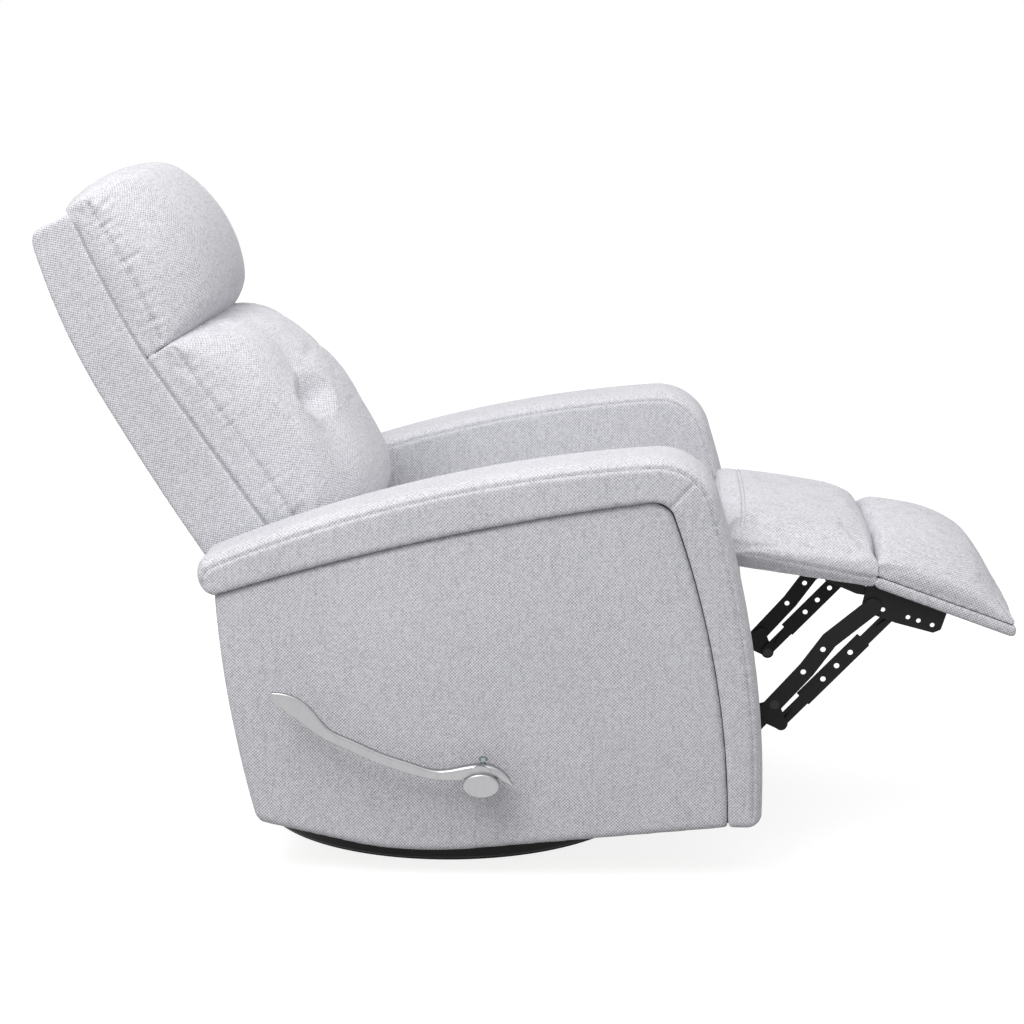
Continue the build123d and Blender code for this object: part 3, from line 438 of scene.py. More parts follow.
BLACK_STEEL = Mottled("black_steel", (0.006, 0.006, 0.0065), (0.012, 0.012, 0.0125), (0.42, 0.6), specular=0.22)
DARK_RIVET = Mottled("dark_rivet", (0.006, 0.006, 0.006), (0.015, 0.015, 0.015), (0.3, 0.45), specular=0.4)
SATIN = Mottled(
    "satin_metal", (0.40, 0.40, 0.41), (0.46, 0.46, 0.465), (0.26, 0.36), 1.0, (900.0, 900.0, 140.0)
)
ZINC = Mottled("satin_metal", (0.30, 0.35, 0.35), (0.4, 0.44, 0.44), (0.2, 0.35), 1.0, name="zinc_screw")
FELT = Mottled("floor_felt", (0.02, 0.02, 0.02), (0.05, 0.05, 0.05), (0.9, 1.0), relief=0.0004)
RACE = Mottled("race_plastic", (0.7, 0.7, 0.67), (0.76, 0.76, 0.73), (0.4, 0.5))
WOOD = Mottled(
    "frame_wood", (0.47, 0.31, 0.17), (0.62, 0.45, 0.27), (0.55, 0.75), scale=(30.0, 30.0, 420.0)
)
STRAP = Mottled(
    "strap", (0.015, 0.015, 0.017), (0.06, 0.06, 0.065), (0.8, 0.95), scale=(700.0,) * 3, relief=0.0004
)
THREAD = Mottled(
    "upholstery", (0.36, 0.36, 0.385), (0.48, 0.48, 0.51), (0.7, 0.85), scale=(900.0,) * 3, name="thread"
)


# Meshes


def add_piece(name: str, mesh: bpy.types.Mesh) -> Piece:
    """Puts a mesh into the scene, shaded smooth.

    Args:
        name: Name of the piece.
        mesh: Its mesh.

    Returns:
        The new piece.
    """
    mesh.polygons.foreach_set("use_smooth", [True] * len(mesh.polygons))
    piece = bpy.data.objects.new(name, mesh)
    bpy.context.scene.collection.objects.link(piece)
    return piece


def add_shape(name: str, points: Sequence[Sequence[float]], faces: Sequence[tuple[int, ...]]) -> Piece:
    """Makes a piece of points and faces.

    Args:
        name: Name of the piece.
        points: Its points.
        faces: Points of each face, by number.

    Returns:
        The new piece.
    """
    mesh = bpy.data.meshes.new(name)
    mesh.from_pydata(points, [], faces)
    return add_piece(name, mesh)


def vectors_of(piece: Piece, what: str) -> np.ndarray:
    """Reads a vector at each point of a piece.

    Args:
        piece: Piece to read.
        what: Blender's name for the vector.

    Returns:
        The vectors, one row each.
    """
    vectors = np.empty(len(piece.data.vertices) * 3)
    piece.data.vertices.foreach_get(what, vectors)
    return vectors.reshape(-1, 3)


def points_of(piece: Piece) -> np.ndarray:
    """Gives a piece's points, one row each."""
    return vectors_of(piece, "co")


def normals_of(piece: Piece) -> np.ndarray:
    """Gives the outward direction at each point of a piece."""
    return vectors_of(piece, "normal")


def set_points(piece: Piece, points: np.ndarray) -> None:
    """Moves a piece's points to the given rows."""
    piece.data.vertices.foreach_set("co", np.ascontiguousarray(points, dtype=np.float32).ravel())
    piece.data.update()


def applied(piece: Piece, kind: str, **settings: object) -> Piece:
    """Runs one modifier on a piece and keeps its result.

    Args:
        piece: Piece to change.
        kind: Blender's name for the modifier.
        settings: Its settings.

    Returns:
        The same piece.
    """
    modifier = piece.modifiers.new(kind, kind)
    for key, value in settings.items():
        setattr(modifier, key, value)
    return keep_result(piece)


def keep_result(piece: Piece) -> Piece:
    """Replaces a piece's mesh by what its modifiers make of it.

    Args:
        piece: Piece with modifiers.

    Returns:
        The same piece, without them.
    """
    graph = bpy.context.evaluated_depsgraph_get()
    mesh = bpy.data.meshes.new_from_object(piece.evaluated_get(graph))
    piece.modifiers.clear()
    piece.data = mesh
    mesh.polygons.foreach_set("use_smooth", [True] * len(mesh.polygons))
    return piece


def relax(piece: Piece, rounds: int, back: float = 0.52) -> None:
    """Evens out a piece's surface, by moving each point towards its neighbours and back out.

    Args:
        piece: Piece to smooth.
        rounds: Times to do so.
        back: Share that moves back out, at 0.52 to keep the size and 0 to round the edges off.
    """
    points = points_of(piece)
    edges = np.empty(len(piece.data.edges) * 2, dtype=np.int64)
    piece.data.edges.foreach_get("vertices", edges)
    first, second = edges.reshape(-1, 2).T
    count = np.bincount(edges, minlength=len(points))[:, None]
    for share in (SMOOTH_SHARE, -back) * rounds:
        columns = [
            np.bincount(first, column[second], len(points)) + np.bincount(second, column[first], len(points))
            for column in points.T
        ]
        points = points + share * (np.stack(columns, axis=1) / count - points)
    set_points(piece, points)


def resampled(points: np.ndarray, step: float = LINE_STEP) -> np.ndarray:
    """Spaces points evenly along a line.

    Args:
        points: Points of the line, in order.
        step: Distance from one to the next.

    Returns:
        The new points.
    """
    reach = np.concatenate([[0.0], np.cumsum(np.linalg.norm(np.diff(points, axis=0), axis=1))])
    spots = np.arange(0.0, reach[-1], step)
    return np.stack([np.interp(spots, reach, points[:, axis]) for axis in range(3)], axis=1)


def rounded(points: np.ndarray, reach: int) -> np.ndarray:
    """Evens out a line by a running mean that keeps its ends.

    Args:
        points: Points of the line, evenly spaced.
        reach: Points on each side that count.

    Returns:
        The new points.
    """
    padded = np.pad(points, ((reach, reach), (0, 0)), mode="edge")
    kernel = np.ones(2 * reach + 1) / (2 * reach + 1)
    smooth = np.stack([np.convolve(padded[:, axis], kernel, mode="valid") for axis in range(3)], axis=1)
    smooth[0], smooth[-1] = points[0], points[-1]
    return smooth


def end_loop(node: str, y: float) -> np.ndarray:
    """Traces the rim of a CAD node's flat end.

    Args:
        node: The CAD node.
        y: Where its end lies across the chair.

    Returns:
        Points round the rim, in order.
    """
    shape = bmesh.new()
    shape.from_mesh(frame["nodes"][node].data)
    bmesh.ops.remove_doubles(shape, verts=shape.verts, dist=WELD)
    flat = {face for face in shape.faces if all(abs(vert.co.y - y) < FLAT for vert in face.verts)}
    rim = [edge for edge in shape.edges if sum(face in flat for face in edge.link_faces) == 1]
    beside: dict[int, list[int]] = {}
    spots = {}
    for edge in rim:
        first, second = edge.verts
        for vert in edge.verts:
            spots[vert.index] = tuple(vert.co)
        beside.setdefault(first.index, []).append(second.index)
        beside.setdefault(second.index, []).append(first.index)
    start = min(beside)
    order = [start]
    last, current = start, beside[start][0]
    while current != start:
        order.append(current)
        ahead = [index for index in beside[current] if index != last]
        last, current = current, ahead[0]
    shape.free()
    return resampled(np.array([spots[index] for index in [*order, start]]))


def longest_run(loop: np.ndarray, keep: Keep) -> np.ndarray:
    """Cuts the longest unbroken stretch out of a closed line.

    Args:
        loop: Points of the line.
        keep: Says which points may stay.

    Returns:
        Points of that stretch, in order.
    """
    wanted = keep(loop)
    if wanted.all():
        return loop
    turn = int(np.argmin(wanted))
    loop, wanted = np.roll(loop, -turn, axis=0), np.roll(wanted, -turn)
    best, start = (0, 0), None
    for index, good in enumerate([*wanted, False]):
        if good and start is None:
            start = index
        if not good and start is not None:
            if index - start > best[1] - best[0]:
                best = (start, index)
            start = None
    return loop[best[0]:best[1]]


def press(piece: Piece, line: np.ndarray, width: float, depths: np.ndarray, far: float) -> None:
    """Presses a piece in along a line.

    Args:
        piece: Piece to press.
        line: Points along the line.
        width: Distance over which the surface comes back up.
        depths: Depth at each point of the line.
        far: Widths from the line at which nothing moves.
    """
    tree = kdtree.KDTree(len(line))
    for index, point in enumerate(line):
        tree.insert(point, index)
    tree.balance()
    points, normals = points_of(piece), normals_of(piece)
    low, high = line.min(axis=0) - far * width, line.max(axis=0) + far * width
    for index in np.nonzero(((points > low) & (points < high)).all(axis=1))[0]:
        _, spot, gap = tree.find(points[index])
        if gap < far * width:
            points[index] -= normals[index] * depths[spot] * math.exp(-((gap / width) ** 2))
    set_points(piece, points)


def groove(piece: Piece, line: np.ndarray, width: float, depth: float) -> None:
    """Sinks a seam of one depth into a piece."""
    press(piece, line, width, np.full(len(line), depth), GROOVE_FAR)


def faded(far: np.ndarray, ahead: float, behind: float) -> np.ndarray:
    """Fades from 1 to 0 on both sides of zero, over two distances."""
    return np.exp(-((np.clip(far, 0, None) / ahead) ** 2)) * np.exp(-((np.clip(-far, 0, None) / behind) ** 2))


def ramp(value: np.ndarray, start: float, reach: float) -> np.ndarray:
    """Rises from 0 at the start to 1 after the reach, which is negative on the way down."""
    return np.clip((value - start) / reach, 0, 1)


def eased(share: np.ndarray) -> np.ndarray:
    """Rounds both ends of a ramp."""
    return share * share * (3 - 2 * share)


def laid(
    piece: Piece, line: np.ndarray, drop: Sequence[float] | None = None, even: int = 6
) -> np.ndarray:
    """Lays a line on a piece's surface as an even seam.

    Args:
        piece: Piece to lay it on.
        line: Points near the surface, evenly spaced.
        drop: Direction in which it is dropped first, from outside the piece.
        even: Points on each side that even it out.

    Returns:
        The line's points on the surface.
    """
    surface = BVHTree.FromObject(piece, bpy.context.evaluated_depsgraph_get())
    if drop is not None:
        way = Vector(drop).normalized()
        hits = [surface.ray_cast(Vector(point) - way * DROP_HEIGHT, way)[0] for point in line]
        line = np.array([hit for hit in hits if hit is not None])
    for reach in (even, LAST_EVEN):
        line = rounded(np.array([surface.find_nearest(Vector(point))[0] for point in line]), reach)
    return line


@dataclass(frozen=True)
class Gathers:
    """Small gathers across a seam: their reach, depth and pitch, and how these vary."""

    reach: float
    depth: float
    pitch: float
    first: Pair = (0.3, 1.0)
    width: Pair = (0.2, 0.36)
    share: Pair = (0.3, 1.0)
    step: Pair = (0.5, 1.6)


def pucker(piece: Piece, line: np.ndarray, gathers: Gathers, seed: int) -> None:
    """Draws small gathers across a seam.

    Args:
        piece: Piece that is sewn.
        line: Points along the seam, evenly spaced.
        gathers: Their size.
        seed: Start of the random numbers.
    """
    chance = np.random.default_rng(seed)
    step = float(np.linalg.norm(line[1] - line[0]))
    spots = np.arange(len(line)) * step
    depths = np.zeros(len(line))
    place = chance.uniform(*gathers.first) * gathers.pitch
    while place < spots[-1]:
        width = chance.uniform(*gathers.width) * gathers.pitch
        depths += chance.uniform(*gathers.share) * np.exp(-(((spots - place) / width) ** 2))
        place += chance.uniform(*gathers.step) * gathers.pitch
    press(piece, line, gathers.reach, gathers.depth * depths, GATHER_FAR)


@dataclass(frozen=True)
class Stitch:
    """One kind of sewing."""

    length: float = 0.0032
    pitch: float = 0.0045
    radius: float = 0.0005
    sides: int = 6
    rings: int = 5
    tip: float = 0.08
    lift: float = 0.75
    bow: float = 1.1


def sewn(name: str, piece: Piece, line: np.ndarray, stitch: Stitch) -> Piece:
    """Lays stitches along a line on a piece.

    Args:
        name: Name of the row of stitches.
        piece: Piece that they lie on.
        line: Points near its surface.
        stitch: Their size.

    Returns:
        The stitches as one piece.
    """
    surface = BVHTree.FromObject(piece, bpy.context.evaluated_depsgraph_get())
    spots = resampled(line, stitch.pitch)
    verts: list[Vector] = []
    faces: list[tuple[int, ...]] = []
    for index in range(1, len(spots) - 1):
        along = Vector(spots[index + 1] - spots[index - 1]).normalized()
        spot, out = surface.find_nearest(Vector(spots[index]))[:2]
        across = out.cross(along).normalized()
        first = len(verts)
        for ring in range(stitch.rings):
            share = ring / (stitch.rings - 1) * 2 - 1
            girth = stitch.radius * math.sqrt(max(stitch.tip, 1 - share ** 4))
            rise = stitch.radius * (stitch.lift - stitch.bow * share ** 2)
            middle = spot + along * (share * stitch.length / 2) + out * rise
            for side in range(stitch.sides):
                angle = 2 * math.pi * side / stitch.sides
                verts.append(middle + across * (girth * math.cos(angle)) + out * (girth * math.sin(angle)))
        for ring in range(stitch.rings - 1):
            for side in range(stitch.sides):
                ahead = (side + 1) % stitch.sides
                low, high = first + ring * stitch.sides, first + (ring + 1) * stitch.sides
                faces.append((low + side, low + ahead, high + ahead, high + side))
        faces.append(tuple(first + side for side in reversed(range(stitch.sides))))
        last = first + (stitch.rings - 1) * stitch.sides
        faces.append(tuple(last + side for side in range(stitch.sides)))
    return add_shape(name, verts, faces)


def tube(name: str, line: np.ndarray, radius: float, sides: int = 8) -> Piece:
    """Lays a round cord along a line, with closed ends.

    Args:
        name: Name of the piece.
        line: Points along its middle.
        radius: Its radius.
        sides: Points round it.

    Returns:
        The new piece.
    """
    along = np.gradient(line, axis=0)
    along /= np.linalg.norm(along, axis=1, keepdims=True)
    side_way = np.array([0.0, 1.0, 0.0])
    across = np.cross(along, side_way)
    angles = (np.arange(sides) * 2 * math.pi / sides)[None, :, None]
    spokes = across[:, None, :] * np.cos(angles) + side_way * np.sin(angles)
    verts = (line[:, None, :] + spokes * radius).reshape(-1, 3)
    faces = [tuple(reversed(range(sides))), tuple(len(verts) - sides + side for side in range(sides))]
    for ring in range(len(line) - 1):
        for side in range(sides):
            low, ahead = ring * sides, (side + 1) % sides
            faces.append((low + side, low + ahead, low + sides + ahead, low + sides + side))
    return add_shape(name, verts.tolist(), faces)


def solid_copy(name: str, nodes: Iterable[str], swell: float = 0.0) -> Piece:
    """Copies CAD nodes into one new mesh.

    Args:
        name: Name of the new piece.
        nodes: CAD nodes to copy.
        swell: Distance to push each one's skin out, so that they join.

    Returns:
        The new piece.
    """
    shape = bmesh.new()
    for node in nodes:
        one = bmesh.new()
        one.from_mesh(frame["nodes"][node].data)
        bmesh.ops.remove_doubles(one, verts=one.verts, dist=WELD)
        one.normal_update()
        for vert in one.verts:
            vert.co += vert.normal * swell
        part = bpy.data.meshes.new(node + "_copy")
        one.to_mesh(part)
        one.free()
        shape.from_mesh(part)
        bpy.data.meshes.remove(part)
    mesh = bpy.data.meshes.new(name)
    shape.to_mesh(mesh)
    shape.free()
    return add_piece(name, mesh)


@dataclass(frozen=True)
class Padding:
    """How a padded piece is cut and filled."""

    voxel: float = 0.0055
    shrink: float = 0.003
    pressure: float = 4.0
    cap: float = 0.016
    frames: int = 18
    smooth: int = 6
    soft: int = 0
    fine: int = 1
    quality: int = 4
    mass: float = 0.3
    stretch: float = 12.0
    shear: float = 6.0
    bend: float = 0.6


def upholster(
    name: str, nodes: Sequence[str], padding: Padding, swell: float = 0.0, held: Hold | None = None
) -> Piece:
    """Makes a padded fabric piece in the place of CAD nodes.

    Args:
        name: Name of the piece.
        nodes: CAD nodes that it stands for.
        padding: How it is filled.
        swell: Distance by which the nodes are thickened so that they join.
        held: Says from points and normals which points rest on something, and stay where they are.

    Returns:
        The piece.
    """
    piece = solid_copy(name, nodes, swell)
    applied(piece, "REMESH", mode="VOXEL", voxel_size=padding.voxel)
    relax(piece, padding.soft, 0.0)
    relax(piece, padding.smooth)
    if held is not None:
        inflate(piece, padding, held)
    if padding.fine:
        applied(piece, "SUBSURF", levels=padding.fine, render_levels=padding.fine)
    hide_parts(*nodes)
    return piece


def inflate(piece: Piece, padding: Padding, held: Hold) -> None:
    """Fills a piece by simulated pressure on its cloth.

    Args:
        piece: Closed mesh to fill.
        padding: Pressure, frames and the most that a point may move.
        held: Says from points and normals which points stay where they are.
    """
    rest = points_of(piece)
    fixed = held(rest, normals_of(piece))
    start = rest - normals_of(piece) * np.where(fixed, 0.0, padding.shrink)[:, None]
    set_points(piece, start)
    group = piece.vertex_groups.new(name="held")
    group.add(np.nonzero(fixed)[0].tolist(), 1.0, "REPLACE")
    cloth = piece.modifiers.new("Cloth", "CLOTH")
    settings = cloth.settings
    settings.quality = padding.quality
    settings.mass = padding.mass
    settings.tension_stiffness = settings.compression_stiffness = padding.stretch
    settings.shear_stiffness = padding.shear
    settings.bending_stiffness = padding.bend
    settings.use_pressure = True
    settings.uniform_pressure_force = padding.pressure
    settings.vertex_group_mass = group.name
    settings.effector_weights.gravity = 0.0
    cloth.collision_settings.use_collision = False
    cloth.point_cache.frame_end = padding.frames
    scene = bpy.context.scene
    for step in range(1, padding.frames + 1):
        scene.frame_set(step)
    keep_result(piece)
    scene.frame_set(1)
    piece.vertex_groups.clear()
    move = points_of(piece) - start
    far = np.linalg.norm(move, axis=1, keepdims=True)
    set_points(piece, start + move * np.minimum(1.0, padding.cap / np.maximum(far, 1e-9)))
    relax(piece, 1)


def dressed(piece: Piece, material: bpy.types.Material, body: str) -> Piece:
    """Gives a piece its finish and puts it on its body.

    Args:
        piece: Piece to dress.
        material: Its finish.
        body: The body that it moves with.

    Returns:
        The same piece.
    """
    piece.data.materials.clear()
    piece.data.materials.append(material)
    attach(piece, body)
    LOG.info("%s on %s", piece.name, body)
    return piece


def sheet(name: str, rows: np.ndarray, thick: float) -> Piece:
    """Makes a thin sheet of fabric.

    Args:
        name: Name of the piece.
        rows: Grid of points, row by row.
        thick: Thickness of the fabric.

    Returns:
        The sheet.
    """
    count, width = rows.shape[:2]
    faces = []
    for row in range(count - 1):
        for first in range(row * width, row * width + width - 1):
            faces.append((first, first + 1, first + width + 1, first + width))
    piece = add_shape(name, rows.reshape(-1, 3).tolist(), faces)
    return applied(piece, "SOLIDIFY", thickness=thick, offset=0.0)


def strip(name: str, line: np.ndarray, half: float) -> Piece:
    """Makes a strip of fabric that runs across the chair.

    Args:
        name: Name of the piece.
        line: Points down its middle.
        half: Half of its width.

    Returns:
        The strip.
    """
    shifts = [np.array([0.0, y, 0.0]) for y in np.linspace(-half, half, STRIP_COLUMNS)]
    return sheet(name, np.stack([line + shift for shift in shifts], axis=1), STRIP_THICK)


@dataclass(frozen=True)
class Slant:
    """Axes of a leaning part of the chair: out or along, across, and up."""

    x: float
    z: float
    lean: float

    def local(self, points: np.ndarray) -> np.ndarray:
        """Turns row-frame points into the part's own axes.

        Args:
            points: Points in the row frame.

        Returns:
            The same points along the part, across it and up from it.
        """
        turn = math.radians(self.lean)
        dx, dz = points[..., 0] - self.x, points[..., 2] - self.z
        along = dx * math.cos(turn) + dz * math.sin(turn)
        up = dz * math.cos(turn) - dx * math.sin(turn)
        return np.stack([along, points[..., 1], up], axis=-1)

    @property
    def down(self) -> tuple[float, float, float]:
        """Direction in the row frame that points into the part from above."""
        turn = math.radians(self.lean)
        return (math.sin(turn), 0.0, -math.cos(turn))

    def world(self, points: np.ndarray) -> np.ndarray:
        """Turns points in the part's own axes into the row frame.

        Args:
            points: Points along the part, across it and up from it.

        Returns:
            The same points in the row frame.
        """
        turn = math.radians(self.lean)
        along, up = points[..., 0], points[..., 2]
        x = self.x + along * math.cos(turn) - up * math.sin(turn)
        z = self.z + along * math.sin(turn) + up * math.cos(turn)
        return np.stack([x, points[..., 1], z], axis=-1)

    def line(self, points: Sequence[Sequence[float]], step: float = LINE_STEP) -> np.ndarray:
        """Spaces points evenly along a line that is given in the part's own axes."""
        return resampled(self.world(np.array(points)), step)


BACK = Slant(-0.414, 0.732, 35.0)
SEAT = Slant(-0.120, 0.320, 6.27)
END_PAD = Slant(0.630, 0.404, -19.6)
MIDDLE_PAD = Slant(0.630, 0.404, -7.9)


class Fabrics:
    """The tweed, cut for each part of the chair, with its thread and the dark finish of the arm's seam strip of
    painted shade.
    """

    def __init__(self) -> None:
        """Makes the materials."""
        tweed = Tweed()
        self.slot = tweed.slot
        self.cuts = {grain: tweed.make(grain) for grain in Grain}
        self.thread = THREAD.make()
        # The dark strap finish also colours the arm's seam strip, which is painted shade.
        self.shade_strip_finish = STRAP.make()

    def dress(self, piece: Piece, grain: Grain, body: str) -> Piece:
        """Covers a piece with fabric and puts it on its body."""
        return dressed(piece, self.cuts[grain], body)

    def sew(self, name: str, piece: Piece, line: np.ndarray, body: str) -> Piece:
        """Sews a row of stitches on a piece that rides on a body."""
        return dressed(sewn(name, piece, line, Stitch()), self.thread, body)


# Sub-assemblies


@dataclass
class Arm:
    """One arm: padded band, outer and inner panels."""

    side: str
    sign: int
    band_fill: Padding = Padding(voxel=0.0045, smooth=4)
    panel_fill: Padding = Padding(voxel=0.0045, smooth=2)
    swell: float = 0.0004
    band_clear: float = 0.022
    toe: float = 0.1
    even: int = 4
    seam: Pair = (0.003, 0.0024)
    gathers: Gathers = Gathers(0.009, 0.0009, 0.022)
    seed: int = 5
    mitre: tuple[Pair, Pair] = ((0.336, 0.547), (0.369, 0.584))
    mitre_seam: Pair = (0.003, 0.002)
    pillow: float = 0.004
    # Reach, evening, trim, depth and radius of the dark strip of painted shade behind the band's seam.
    shade_strip_near: float = 0.006
    shade_strip_even: int = 3
    shade_strip_trim: int = 5
    shade_strip_depth: float = 0.35
    shade_strip_radius: float = 0.0022
    rear_step: float = 0.006
    rear_facing: float = -0.5
    rear_puff: float = 0.003
    rear_crown: float = 1.4
    rear_thick: float = 0.003
    rear_lap: float = 0.003

    def build(self, fabrics: Fabrics) -> None:
        """Makes the arm's pieces and dresses them.

        Args:
            fabrics: Fabric and thread.
        """
        cover = self.build_cover(fabrics)
        fabrics.dress(cover, Grain.UPRIGHT, "chair")
        nodes = ["side_panel_" + self.side]
        panel = upholster("side_cover_" + self.side, nodes, self.panel_fill, self.swell)
        self.puff(panel)
        fabrics.dress(panel, Grain.UPRIGHT, "chair")
        # A dark strip behind the band's seam stands in for the shadow in the joint: painted shade.
        dressed(self.build_shade_strip(), fabrics.shade_strip_finish, "chair")
        fabrics.dress(self.build_rear(), Grain.UPRIGHT, "chair")

    def build_cover(self, fabrics: Fabrics) -> Piece:
        """Makes the padded band and inner side with top-stitched edges and a mitred corner.

        Args:
            fabrics: Fabric and thread.

        Returns:
            The cover.
        """
        node, panel = "arm_wrap_" + self.side, "side_panel_" + self.side
        nodes = [node, "inner_panel_" + self.side]
        cover = upholster("arm_cover_" + self.side, nodes, self.band_fill, self.swell)
        inner, outer = (self.plane(node, inner=side) for side in (True, False))
        rim = end_loop(panel, self.plane(panel, inner=True))
        for label, edge in (("inner", inner), ("outer", outer)):
            line = longest_run(end_loop(node, edge), lambda loop: self.off_panel(loop, rim))
            line = laid(cover, rounded(line, self.even))
            groove(cover, line, *self.seam)
            pucker(cover, line, self.gathers, self.seed + self.sign)
            fabrics.sew(f"arm_stitch_{label}_{self.side}", cover, line, "chair")
        mitre = np.array([(x, outer, z) for x, z in self.mitre])
        groove(cover, resampled(mitre), *self.mitre_seam)
        return cover

    def build_shade_strip(self) -> Piece:
        """Makes the dark strip behind the seam between band and panel, painted shade for the shadow in the
        joint.

        Returns:
            The strip of painted shade.
        """
        panel, band = "side_panel_" + self.side, "arm_wrap_" + self.side
        inner, outer = (self.plane(panel, inner=side) for side in (True, False))
        rim = end_loop(panel, inner)
        edge = end_loop(band, self.plane(band, inner=False))
        line = longest_run(rim, lambda loop: self.gaps(loop, edge) < self.shade_strip_near)
        line[:, 1] = outer + (inner - outer) * self.shade_strip_depth
        line = rounded(line, self.shade_strip_even)[self.shade_strip_trim:-self.shade_strip_trim]
        return tube("seam_tape_" + self.side, line, self.shade_strip_radius)

    def build_rear(self) -> Piece:
        """Makes the cover of the arm's rear end, which follows the frame behind it.

        Returns:
            The cover.
        """
        core = "arm_core_" + self.side
        low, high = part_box(core)
        surface = BVHTree.FromObject(frame["nodes"][core], bpy.context.evaluated_depsgraph_get())
        middle, half = (low.y + high.y) / 2, (high.y - low.y) / 2 + self.rear_lap
        shares = np.linspace(-1, 1, STRIP_COLUMNS)
        rows = []
        for z in np.arange(low.z + self.rear_step / 2, high.z, self.rear_step):
            spot, normal, *_ = surface.ray_cast(Vector((low.x - DROP_HEIGHT, middle, z)), Vector((1, 0, 0)))
            if spot is None or normal.x > self.rear_facing:
                continue
            crown = [self.rear_puff * (self.rear_crown - share * share) for share in shares]
            rows.append([(spot.x - out, middle + share * half, z) for share, out in zip(shares, crown)])
        return sheet("arm_rear_" + self.side, np.array(rows), self.rear_thick)

    def gaps(self, loop: np.ndarray, other: np.ndarray) -> np.ndarray:
        """Gives how far each point of a line lies from another line, seen from the side."""
        return np.hypot(loop[:, None, 0] - other[None, :, 0], loop[:, None, 2] - other[None, :, 2]).min(axis=1)

    def plane(self, node: str, inner: bool) -> float:
        """Gives where a node's inner or outer face lies across the chair."""
        low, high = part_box(node)
        return sorted((low.y, high.y), key=abs)[0 if inner else 1]

    def off_panel(self, loop: np.ndarray, rim: np.ndarray) -> np.ndarray:
        """Says which points of the band's rim are its free edge and not the seam against the panel."""
        return (self.gaps(loop, rim) > self.band_clear) & (loop[:, 2] > self.toe)

    def puff(self, panel: Piece) -> None:
        """Swells a panel's outer face a little towards its middle.

        Args:
            panel: The panel.
        """
        points = points_of(panel)
        low, high = points.min(axis=0), points.max(axis=0)
        share = (points - (low + high) / 2) / ((high - low) / 2)
        lift = np.clip(1 - share[:, 0] ** 2, 0, 1) * np.clip(1 - share[:, 2] ** 2, 0, 1)
        outer = np.clip(self.sign * share[:, 1], 0, 1)
        points[:, 1] += self.sign * self.pillow * lift * outer
        set_points(panel, points)


